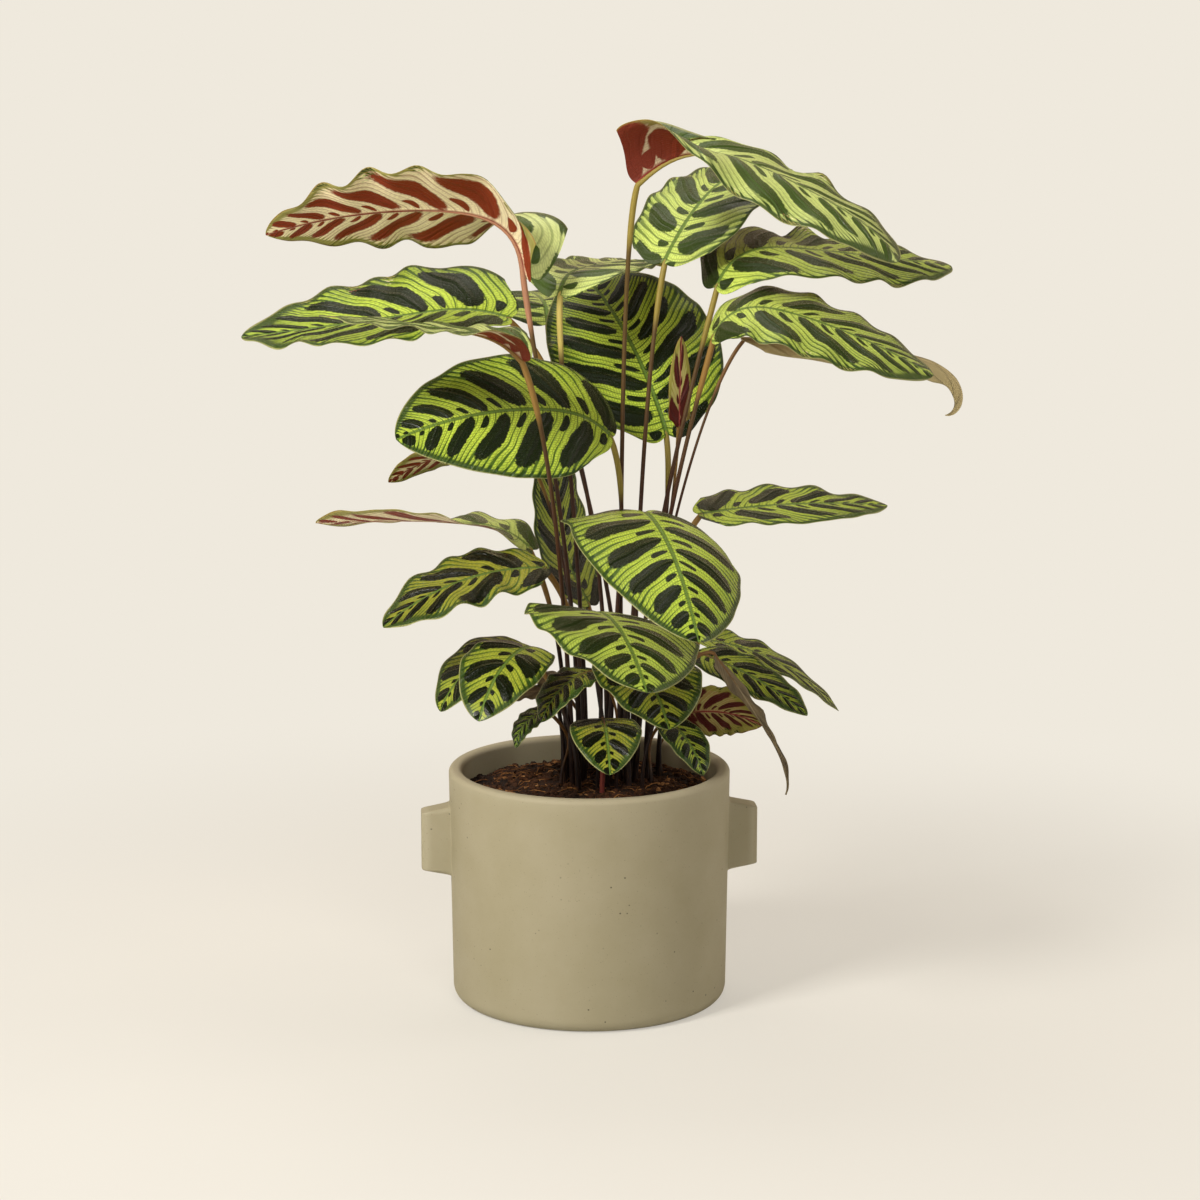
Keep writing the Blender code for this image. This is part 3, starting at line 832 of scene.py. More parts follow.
LEAVES: list[Leaf] = [
    # The crown, above the other leaves.
    # top_arching's blush is raised to darken its underside at the base: partly its own maroon,
    # partly painted shade.
    Leaf("top_arching", (34, -20, 610), (23, -2), -20, 222, 100, 40, 8, level=-20, settle=0.26,
         roll=5, roll_base=-8, fold=2, fold_base=80, curl=(-10, -40), fullness=0.5, lobe=0.01,
         elbow=16, dip=1.5, tone=0.6, wave=1.6, ear=16, taper=0.52, hook=35, sweep=0.34,
         waist=(0.6, 0.0, 0.25), blush=1.15, tint=Tint.OLIVE),
    Leaf("top_back", (55, 35, 549), (33, 14), 50, 165, 105, 50, 70, bend=1.5, fold=5,
         curl=(-15, -15), tone=0.35, wave=0.8, tint=Tint.OLIVE),
    # Leaves that face the back, with their upper side to the front.
    Leaf("back_center", (58, 60, 418), (44, 34), 122, 168, 132, 60, 35, roll=-18, fold=12,
         fullness=0.5, taper=0.65, sweep=0.24, lobe=0.05, tint=Tint.OLIVE, spacing=22, wave=0.5),
    Leaf("back_left", (-22, 38, 525), (-3, 30), 60, 150, 90, 60, 12, level=6, settle=0.12,
         elbow=20, tint=Tint.YELLOW, tone=0.6),
    Leaf("back_outer", (-32, 140, 492), (26, 42), 100, 120, 100, 50, 10, level=5, tone=0.3),
    Leaf("back_upright", (0, 72, 285), (8, 40), 150, 150, 75, 55, 10, level=88, settle=0.3,
         tone=-0.3, wave=0.8),
    # Leaves to the right.
    Leaf("right_upper", (93, 25, 532), (30, 6), 20, 203, 110, 60, 4, level=-5, roll=15, fold=5,
         lean=0.3, tone=0.15, wave=1.5, taper=0.55, tint=Tint.OLIVE, sweep=0.3),
    Leaf("right_arching", (89, -20, 500), (34, -4), -5, 178, 108, 60, 24, level=-7, roll=18,
         fold=5, curl=(-25, -20), fullness=0.45, lean=0.3, tone=0.2, wave=1.2, taper=0.58,
         sweep=0.34),
    Leaf("right_slim", (82, 10, 365), (43, 14), 18, 150, 78, 6, 13, roll=12, tone=-0.15, wave=1.3,
         sweep=0.3, spacing=27),
    Leaf("right_low", (83, 26, 267), (52, 14), 12, 127, 50, -8, 42, roll=15, tone=-0.2, wave=1.3,
         sweep=0.32, spacing=24),
    # Leaves to the left.
    Leaf("left_upturned", (-47, 17, 545), (-7, 8), 175, 215, 105, 80, 32, level=14, roll=38,
         roll_base=-15, fold=12, fold_base=60, lobe=0.06, tint=Tint.PINK, tone=0.9, wave=1.7,
         ear=9, phase=0.4, spacing=30, waist=(0.65, 0.0, 0.12), blush=0.15),
    Leaf("left_long", (-59, 31, 508), (14, 18), 172, 205, 114, 15, -4, level=-11, roll=-22,
         fold=18, curl=(-15, -15), elbow=60, dip=0.6, wave=1.5, ear=5, spacing=30, sweep=0.36),
    Leaf("left_edgewise", (-45, -108, 493), (-12, -16), 175, 150, 76, 45, 4, level=8, roll=2,
         fold_base=40, lean=0.3, tone=0.7, wave=1.8, ear=4, sweep=0.34),
    Leaf("left_slim", (-43, 25, 336), (-17, 5), 168, 172, 80, 40, 8, level=3, roll=-8,
         tone=0.35, wave=1.4, twist=30, curl=(5, -20), sweep=0.3, spacing=34),
    # left_low's tone below 0 darkens it: partly an older leaf's colour, partly painted shade.
    Leaf("left_low", (-32, -26, 331), (-4, -10), 195, 130, 80, 5, 45, roll=-15, tone=-0.8,
         wave=1.8, sweep=0.32, spacing=26),
    # Slim leaves on long, thin stalks.
    Leaf("right_withered", (115, 25, 494), (34, 24), 12, 205, 36, -4, 10, hook=180, roll=10,
         lean=0.3, dry=True, twist=40, wave=2.5, tone=0.6, curl=(-120, -100)),
    Leaf("left_curled", (-51, 38, 411), (-7, 37), 172, 107, 40, 4, 40, tone=0.5, twist=50, wave=2),
    Leaf("furled", (67, 45, 426), (42, 24), 80, 66, 18, 85, 5, roll=30, lean=0.3, rolled=True,
         sweep=0.4, spacing=24, tone=-1),
    # Broad leaves that hang to the front.
    Leaf("front_left", (17, -17, 426), (15, -4), 200, 172, 118, 45, 38, level=17, roll=-43,
         fold=5, curl=(-25, -25), fullness=0.45, lobe=0.02, tint=Tint.OLIVE, spacing=28,
         wave=0.4),
    Leaf("front_center", (41, -30, 373), (28, -12), -78, 180, 130, 0, 42, fold=5,
         curl=(-65, -12), lobe=0.1, spacing=30, wave=0.25, ear=14, fullness=0.3, taper=0.62),
    Leaf("front_lower", (4, -50, 303), (13, -20), -76, 155, 128, 12, 45, roll=-5,
         curl=(-50, -15), lobe=0.06, tone=0.1, wave=1.2, spacing=30),
    # The tones below 0 of front_skirt, side_left and side_front darken them partly as painted
    # shade.
    Leaf("front_skirt", (31, -30, 269), (29, -20), -72, 95, 80, -5, 40, tone=-0.5, spacing=22),
    Leaf("side_left", (-47, -15, 269), (-19, -5), -158, 85, 66, 5, 75, roll=-10, wave=1.2,
         tone=-0.5, spacing=24),
    Leaf("side_front", (-43, -42, 276), (-8, -29), -117, 92, 64, 5, 65, roll=-10, wave=1.2,
         tone=-0.5, spacing=26),
    # Small, young or withered leaves, each grown in one piece with its stalk.
    Leaf("right_inner", (79, -6, 264), (43, -2), -25, 98, 45, -12, 24, roll=15, lobe=0, dip=0.3,
         one_piece=True, tone=-0.4, wave=1.5, sweep=0.3, spacing=18),
    # The tones below 0 of turned_right, pot_front and shaded_inner darken them as painted shade.
    Leaf("turned_right", (70, 20, 211), (54, 22), -5, 62, 52, 15, 45, roll=-60, one_piece=True,
         wave=1.5, spacing=8.5, tone=-1, sweep=0.4),
    Leaf("pot_front", (10, -52, 224), (6, -30), -85, 68, 52, 5, 60, one_piece=True, spacing=20,
         wave=0.6, tone=-0.8),
    Leaf("pot_right", (57, -14, 215), (46, -11), -50, 56, 38, -15, 50, one_piece=True,
         tone=-0.3, spacing=14),
    Leaf("pot_left", (-30, -20, 222), (-21, -14), 200, 40, 28, 0, 90, roll=-10, one_piece=True),
    Leaf("shaded_inner", (4, -52, 260), (20, -28), 215, 60, 48, 0, 70, one_piece=True, tone=-0.9),
    Leaf("dry_upper", (-22, 31, 236), (-13, 24), 180, 48, 20, 5, 15, roll=-20, one_piece=True,
         dry=True, wave=2.5, tone=-0.5),
    Leaf("dry_lower", (-20, 18, 229), (-14, 15), 185, 55, 22, 5, 25, roll=-20, one_piece=True,
         dry=True, wave=2.5, tone=-0.5),
    Leaf("dry_ribbon", (91, -45, 271), (39, -28), -28, 118, 12, -48, 12, twist=230,
         curl=(-110, -90), lobe=0, dip=0.5, one_piece=True, dry=True, wave=7, tone=-0.5, hook=50),
]


@dataclass
class Midrib:
    """Middle line of a blade and the frame that it carries along.

    The pitch falls from rise to level as a bell curve of width settle, then by droop
    times the fraction to the power bend, and by hook at the tip.
    """

    leaf: Leaf
    steps: int = 400

    def at(self, along: Array) -> tuple[Array, ...]:
        """Places and frames on the midrib.

        Args:
            along: fractions of the blade's length; below 0 the line runs on straight.

        Returns:
            Place in mm, and the ahead, right and normal directions.
        """
        leaf = self.leaf
        fine = np.linspace(0.0, 1.0, self.steps + 1)
        pitch = np.radians(leaf.level + (leaf.rise - leaf.level) * bell(fine, leaf.settle)
                           - leaf.droop * fine ** leaf.bend - leaf.hook * fine ** 8)
        heading = math.radians(leaf.heading)
        level = np.array([math.cos(heading), math.sin(heading), 0.0])
        up = np.array([0.0, 0.0, 1.0])
        tangent = np.cos(pitch)[:, None] * level + np.sin(pitch)[:, None] * up
        steps = 0.5 * (tangent[1:] + tangent[:-1]) * leaf.length / self.steps
        place = np.array(leaf.base) + np.vstack([np.zeros(3), np.cumsum(steps, axis=0)])

        flat = np.clip(along, 0.0, 1.0).ravel()
        here, ahead = (np.stack([np.interp(flat, fine, line[:, k]) for k in range(3)], axis=1)
                       for line in (place, tangent))
        here = here + ahead * (np.minimum(along.ravel(), 0.0) * leaf.length)[:, None]
        slope = np.interp(flat, fine, pitch)[:, None]
        upright = np.cos(slope) * up - np.sin(slope) * level
        side = np.cross(ahead, upright)
        turn = np.radians(leaf.roll + leaf.twist * flat + (leaf.roll_base - leaf.roll)
                          * bell(flat, leaf.settle))[:, None]
        right = np.cos(turn) * side - np.sin(turn) * upright
        normal = np.cos(turn) * upright + np.sin(turn) * side
        return tuple(part.reshape(along.shape + (3,)) for part in (here, ahead, right, normal))


@dataclass
class Blade:
    """The thin, waved blade of one leaf, closed, with a rib that stands out below.

    Heights, depths and widths are in mm, but wave_height is a share of the leaf's width.
    waist_run and ear_run are the shares of the blade over which waist and ear fade.
    """

    leaf: Leaf
    seed: int
    rows: int = 132
    half_columns: int = 18
    thickness: float = 0.5
    groove_depth: float = 0.35
    groove_width: float = 1.3
    ridge_height: float = 1.1
    pleat_depth: float = 1.5
    wave_height: float = 0.023
    waist_run: float = 0.12
    ear_run: float = 0.045

    @property
    def phase(self) -> float:
        """Shift of the marks, different for each leaf."""
        return self.leaf.phase + 0.37 * self.seed

    def half_width(self, along: Array) -> Array:
        """Outline of half a blade: x^fullness (1 - x)^taper, scaled to its widest.

        Args:
            along: fractions of the blade's length.

        Returns:
            Half widths in mm.
        """
        leaf = self.leaf
        widest = leaf.fullness / (leaf.fullness + leaf.taper)
        peak = widest ** leaf.fullness * (1 - widest) ** leaf.taper
        x = np.clip(along, 0.0, 1.0)
        outline = x ** leaf.fullness * (1 - x) ** leaf.taper / peak
        return np.maximum(0.5 * leaf.width * outline, TIP_HALF_WIDTH)

    def count(self, along: Array) -> Array:
        """Count of large marks from the base, which crowd together at the tip."""
        return self.leaf.length / self.leaf.spacing * (along + 0.25 * along ** 3) / 1.25

    def relief(self, u: Array, q: Array, along: Array, margin: Array, reach: Array) -> Array:
        """Waves and pleats of the blade.

        The margin waves as a sine of uneven strength with some noise.  Between the ribs
        of the large marks the skin sags like -|cos|^0.8, which leaves a pleat along
        each of them.

        Args:
            u: where each row leaves the rib, as a fraction of the blade's length.
            q: signed share of the half blade, 0 at the rib.
            along: how far along the blade each point lies, as a fraction.
            margin: where each row meets the margin, as a fraction.
            reach: half width of each row in mm.

        Returns:
            Height of each point over the smooth surface, in mm.
        """
        leaf, across, right = self.leaf, np.abs(q), q > 0
        run = along * leaf.length
        chance = lattice_noise(run, 97.0 * self.seed + 41.0 * right, 0.55 * leaf.spacing, 23)
        fading = lattice_noise(run, 53.0 * self.seed + 0 * q, 1.6 * leaf.spacing, 29)
        turns = leaf.length / (1.2 * leaf.spacing)
        swell = np.sin(TURN * turns * along + (1.7 * self.seed + 2.1 * right))
        swell = (0.75 + 0.5 * fading) * swell + 1.1 * chance
        wave = self.wave_height * leaf.wave * leaf.width * across ** 1.9 * swell \
            * np.sin(math.pi * margin) ** 0.6
        marks = self.count(u) + self.phase + 0.5 * right + 0.15
        pleat = self.pleat_depth * np.abs(np.cos(math.pi * marks)) ** 0.8 \
            * np.sin(math.pi * across ** 0.8) * smooth(reach / 30.0)
        return wave - pleat

    def piece(self, upper: Material, under: Material) -> Piece:
        """Work out the blade.

        Rows follow the side veins, which leave the rib and sweep towards the tip.
        Across a row the surface turns by fold at the rib and by curl more at the
        margin.  Ear draws out the corner at the base.

        Args:
            upper: material of the upper side.
            under: material of the underside.

        Returns:
            The blade as a piece.
        """
        leaf = self.leaf
        row = 0.5 - 0.5 * np.cos(np.linspace(0.0, math.pi, self.rows))
        half = np.linspace(0.0, 1.0, self.half_columns + 1) ** 1.35
        u, q = np.meshgrid(row, np.concatenate([-half[:0:-1], half]), indexing="ij")
        across, side = np.abs(q), np.sign(q)
        margin = BASE_FRACTION + (1 - BASE_FRACTION) * u
        margin = np.clip(margin + leaf.sweep * np.sin(math.pi * u) * (1 - 0.3 * u), 0.0, 1.0)
        along = u + (margin - u) * across ** (1.45 + 0.55 * np.exp(-u / 0.1))
        along -= leaf.lobe * np.sin(math.pi * across ** 0.8) * (1 - across ** 2) \
            * np.exp(-u / 0.06)

        here, _, right, normal = Midrib(leaf).at(along)
        settled = bell(np.clip(along, 0, 1), leaf.settle)
        fold = np.radians(leaf.fold + (leaf.fold_base - leaf.fold) * settled)
        curl = np.radians(np.where(side < 0, *leaf.curl))
        waist = np.where(side < 0, *leaf.waist[:2]) * bell(margin - leaf.waist[2],
                                                              self.waist_run)
        reach = self.half_width(margin) * (1 - waist)
        reach = reach + leaf.ear * bell(u, self.ear_run) * across ** 5
        tilt = fold + curl * across
        out = reach * (np.sin(tilt) - np.sin(fold)) / curl
        lift = reach * (np.cos(fold) - np.cos(tilt)) / curl
        tilt = np.where(across > 0, tilt, 0.0)[..., None]
        facing = np.cos(tilt) * normal - np.sin(tilt) * right * side[..., None]
        surface = here + right * (out * side)[..., None] + normal * lift[..., None] \
            + facing * self.relief(u, q, along, margin, reach)[..., None]

        from_rib = across * reach
        rib = np.clip(1.0 - 0.8 * u, 0.0, 1.0) * min(1.0, leaf.width / 70.0)
        groove = self.groove_depth * rib * bell(from_rib, self.groove_width)
        ridge = self.ridge_height * rib * bell(from_rib, 0.5 + rib)
        thick = 0.5 * self.thickness * (1 - 0.6 * across ** 6)
        top = surface + facing * (thick - groove)[..., None]
        low = surface - facing * (thick + ridge)[..., None]
        points = np.concatenate([top, low[:, ::-1]], axis=1)

        # The skin runs across the top and back below; flat strips close base and tip.
        columns = points.shape[1]
        wide = columns // 2
        finish = np.tile(np.arange(columns) >= wide, self.rows - 1)
        finish[columns - 1::columns] = False
        near = np.arange(wide - 1)
        base = np.stack([near, near + 1, columns - 2 - near, columns - 1 - near], axis=1)
        tip = base[:, ::-1] + (self.rows - 1) * columns
        faces = np.concatenate([skin_faces(self.rows, columns), base, tip])[:, ::-1]
        finish = np.concatenate([finish, np.zeros(2 * len(base), bool)])

        counted, signed, width, run, place, rib_width, foot = (
            np.concatenate([grid, grid[:, ::-1]], axis=1).ravel()
            for grid in (self.count(u), q, reach, along * leaf.length, q * reach,
                         0.35 + 0.5 * rib, leaf.blush * smooth(1.45 - 5.0 * along)))
        fields = {
            "vein": np.stack([counted, signed, width], axis=1),
            "flat": np.stack([run, place, np.full(len(run), 211.0 * self.seed)], axis=1),
            "style": np.tile([leaf.spacing, self.phase, leaf.tone], (len(run), 1)),
            "rib_width": rib_width,
            "foot": foot,
        }
        return Piece(name="blade_" + leaf.name, points=points, faces=faces,
                     finishes=[upper, under], replaces=leaf.node, slot=leaf.slot,
                     fields=fields, finish_of_face=finish)


@dataclass
class Stalk:
    """A round leaf stalk that runs on under the blade as its rib, to rib_share of it.

    buried is its depth below the crown, joints the length of the joint under a large and
    a small blade, and swelling how much thicker the joint is, all in mm.
    """

    leaf: Leaf
    seed: int
    pieces: int = 56
    sides: int = 14
    buried: float = 10.0
    joints: tuple = (42.0, 20.0)
    swelling: float = 0.45
    rib_points: int = 16
    rib_share: float = 0.45

    def path(self) -> tuple[Array, Array]:
        """Middle line: one cubic curve to the blade, then along under its rib.

        Returns:
            The points in mm, and the distance of each from the blade's start.
        """
        leaf = self.leaf
        under = BLADE_UNDER + 0.7 * leaf.slim * STALK_RADII[-1]
        base, ahead, _, normal = (part[0] for part in Midrib(leaf).at(np.zeros(1)))
        foot = np.array([*leaf.foot, CROWN_HEIGHT])
        top = base - (0.0 if leaf.one_piece else under) * normal
        reach = np.linalg.norm(top - foot)
        first = (1 - leaf.lean) * np.array([0, 0, 1.0]) + leaf.lean * (top - foot) / reach
        first = foot + 0.45 * reach * unit(first)
        second = top - leaf.elbow * (ahead + np.array([0, 0, leaf.dip]))
        t = np.linspace(0.0, 1.0, self.pieces + 1)[:, None]
        curve = ((1 - t) ** 3 * foot + 3 * (1 - t) ** 2 * t * first
                 + 3 * (1 - t) * t ** 2 * second + t ** 3 * top)
        along = np.linspace(0.02, self.rib_share, self.rib_points)
        place, _, _, normals = Midrib(leaf).at(along)
        share = np.linspace(1.0, 0.35, self.rib_points)[:, None]
        rib = place - normals * (0.15 + under * share if not leaf.one_piece else 0.3)
        points = np.vstack([foot - np.array([0, 0, self.buried]), curve, rib])
        steps = np.linalg.norm(np.diff(points, axis=0), axis=1)
        run = np.concatenate([[0.0], np.cumsum(steps)])
        return points, run - run[self.pieces + 1]

    def piece(self, finish: Material) -> Piece:
        """Work out the stalk as rings carried along its path.

        Args:
            finish: material of the stalk.

        Returns:
            The stalk as a piece.
        """
        leaf, sides = self.leaf, self.sides
        path, from_blade = self.path()
        total = from_blade[self.pieces + 1] - from_blade[0]
        share = np.clip((from_blade + total) / total, 0.0, 1.0)
        joint = self.joints[0] if leaf.length > 100 else self.joints[1]
        radius = leaf.slim * (np.interp(share, STALK_SHARES, STALK_RADII)
                              + self.swelling * bell(from_blade + 0.5 * joint, 0.55 * joint, 4))
        beyond = np.clip(from_blade / (self.rib_share * leaf.length), 0.0, 1.0)
        radius = radius * (1 - 0.82 * beyond ** 0.7)
        ahead = np.gradient(path, axis=0)
        ahead[:2] = (0.0, 0.0, 1.0)
        rings = path[:, None, :] + radius[:, None, None] \
            * circles(unit(ahead), (0.31, 0.95, 0.05), sides)
        points = np.concatenate([rings.reshape(-1, 3), path[:1], path[-1:]])
        # Each end is a fan round its middle point.
        ring = np.arange(sides)
        after = (ring + 1) % sides
        last = (len(path) - 1) * sides
        faces = skin_faces(len(path), sides).tolist()
        for first, second, middle in ((ring, after, len(points) - 2),
                                      (last + after, last + ring, len(points) - 1)):
            faces += np.stack([first, second, np.full(sides, middle)], axis=1).tolist()
        run = np.concatenate([np.repeat(from_blade, sides), from_blade[[0, -1]]])
        turn = np.concatenate([np.tile(ring * TURN / sides, len(path)), [0.0, 0.0]])
        fields = {
            "run": np.stack([run + total, np.maximum(-run, 0.0), turn], axis=1),
            "streak": np.stack([run * 0.12 + 57.0 * self.seed, 2.2 * np.cos(turn),
                                2.2 * np.sin(turn)], axis=1),
            "tint": np.tile(linear(leaf.tint.value)[:3], (len(points), 1)),
        }
        return Piece(name="stalk_" + leaf.name, points=points, faces=faces,
                     finishes=[finish], fields=fields,
                     replaces=leaf.node if leaf.one_piece else "stem_" + leaf.name,
                     slot=leaf.slot if leaf.one_piece else "stalk")


@dataclass
class Foliage:
    """Every leaf of the plant with its stalk."""

    leaves: list[Leaf]

    def build(self) -> None:
        """Make the finishes once, then each blade and stalk, coarser for small leaves."""
        upper, under = UPPER_SIDE.build(), UNDER_SIDE.build()
        withered, skin = WitheredLeaf().build(), StalkSkin().build()
        for seed, leaf in enumerate(self.leaves):
            blade, stalk = Blade(leaf, seed), Stalk(leaf, seed)
            if leaf.one_piece:
                blade = Blade(leaf, seed, rows=64, half_columns=11)
                stalk = Stalk(leaf, seed, pieces=32, sides=10)
            top = withered if leaf.dry else under if leaf.rolled else upper
            blade.piece(top, withered if leaf.dry else under).place()
            stalk.piece(skin).place()


# ------------------------------------------------------- pot, soil and shoot

@dataclass
class Pot:
    """The stoneware pot: a turned body whose wall swells out into two upright lugs.

    lug_heights and lug_widths are a lug's full size at its root and at its tip.  The
    grid is finer at lug_sides and lug_ends, which are distances from a lug's middle.
    """

    height: float = 176.0
    rim_radius: float = 105.0
    base_radius: float = 102.5
    wall: float = 10.0
    floor: float = 12.0
    base_rounding: float = 9.0
    rim_rounding: float = 4.0
    lug_turns: tuple = (math.radians(4.5), math.radians(4.5) + math.pi)
    lug_middle: float = 122.0
    lug_heights: tuple = (53.0, 44.0)
    lug_widths: tuple = (22.0, 15.0)
    lug_reach: float = 21.0
    lug_softness: float = 0.22
    lug_sides: tuple = (5.5, 13.0)
    lug_ends: tuple = (20.0, 29.0)
    pole: float = 0.01
    thin_glaze: float = 5.0

    def outer_radius(self, height: Array) -> Array:
        """Outside radius of the body, straight between its base and its rim."""
        return self.base_radius + (self.rim_radius - self.base_radius) * height / self.height

    def inner_radius(self, height: Array) -> Array:
        """Inside radius of the body at a height."""
        return self.outer_radius(height) - self.wall

    def ramp(self, distance: Array, widths: tuple) -> Array:
        """A side of a lug: straight from root to tip, rounded off at both.

        Args:
            distance: distance from the lug's middle.
            widths: full width at the root and at the tip.

        Returns:
            0 outside the lug, 1 on its flat tip.
        """
        root, tip = widths[0] / 2, widths[1] / 2
        x = (root - distance) / (root - tip)
        soft = self.lug_softness
        low = np.clip(x + soft, 0, None) ** 2 / (4 * soft)
        high = 1 - np.clip(1 + soft - x, 0, None) ** 2 / (4 * soft)
        return np.where(x < soft, low, np.where(x > 1 - soft, high, x))

    def angles(self) -> Array:
        """Place the columns, closer together where the lugs' sides are.

        Returns:
            Their angles.
        """
        near = np.linspace(*self.lug_sides, 22) / self.rim_radius
        extra = [lug + side * near for lug in self.lug_turns for side in (1, -1)]
        every = np.concatenate([np.linspace(0, TURN, 144, endpoint=False), *extra])
        every = np.unique(np.round(every % TURN, 5))
        return every[np.concatenate([[True], np.diff(every) > 0.0015])]

    def heights(self) -> Array:
        """Place the rows on the outer wall, closer together at the lugs' ends.

        Returns:
            Their heights in mm.
        """
        low, high = self.base_rounding, self.height - self.rim_rounding
        near = np.linspace(*self.lug_ends, 20)
        every = np.concatenate([np.linspace(low, high, 56), self.lug_middle + near,
                                self.lug_middle - near])
        every = np.unique(np.round(np.clip(every, low, high), 3))
        return every[np.concatenate([[True], np.diff(every) > 0.15])]

    def profile(self) -> tuple[Array, Array]:
        """Section of the pot, from the middle of its underside to that of its floor.

        Returns:
            Radius and height of each point, and 1 for each point of the outer wall.
        """
        quarter = np.linspace(0.0, math.pi / 2, 10)
        flat = self.base_radius - self.base_rounding
        foot = np.stack([flat + self.base_rounding * np.sin(quarter),
                         self.base_rounding * (1 - np.cos(quarter))], axis=1)
        level = self.heights()
        side = np.stack([self.outer_radius(level), level], axis=1)
        crown = self.height - self.rim_rounding
        rim = np.stack([self.rim_radius - self.rim_rounding * (1 - np.cos(quarter)),
                        crown + self.rim_rounding * np.sin(quarter)], axis=1)
        lip = self.rim_radius - self.wall + self.rim_rounding
        inner = np.stack([lip - self.rim_rounding * np.sin(quarter),
                          crown + self.rim_rounding * np.cos(quarter)], axis=1)
        inside = np.linspace(crown - 2, self.floor, 30)
        inside = np.stack([self.inner_radius(inside), inside], axis=1)
        disc = np.array([[60.0, self.floor], [self.pole, self.floor]])
        under = np.array([[self.pole, 0.0], [50.0, 0.0]])
        parts = (under, foot[:-1], side, rim[1:], inner, inside, disc)
        outer = [np.full(len(part), float(part is side)) for part in parts]
        return np.concatenate(parts), np.concatenate(outer)

    def piece(self, finish: Material) -> Piece:
        """Work out the pot: the profile turned round, its wall moved out at the lugs.

        Args:
            finish: material of the pot.

        Returns:
            The pot as a piece.
        """
        profile, outer = self.profile()
        turn, radius = np.meshgrid(self.angles(), profile[:, 0])
        height = np.repeat(profile[:, 1:], turn.shape[1], axis=1)
        swell = np.zeros(radius.shape)
        for lug in self.lug_turns:
            apart = np.angle(np.exp(1j * (turn - lug)))
            near = self.ramp(np.abs(apart) * self.rim_radius, self.lug_widths) \
                * self.ramp(np.abs(height - self.lug_middle), self.lug_heights)
            swell = np.maximum(swell, np.where(np.abs(apart) < 1.0, near, 0.0))
        swell = swell * outer[:, None]
        radius = radius + swell * (self.rim_radius + self.lug_reach - radius)
        points = np.stack([radius * np.cos(turn), radius * np.sin(turn), height], axis=-1)
        # The glaze is thin near the rim and along the edges of the lugs.
        closeness = np.exp(-np.abs(profile[:, 1] - self.height) / self.thin_glaze)[:, None]
        edge = np.clip(closeness + bell(swell - 0.85, 0.12), 0.0, 1.0)
        return Piece(name="pot_body", points=points, faces=turned_faces(*radius.shape, True),
                     finishes=[finish], replaces="pot", slot="pot",
                     fields={"edge": edge.ravel()}, sharp_above=55.0)


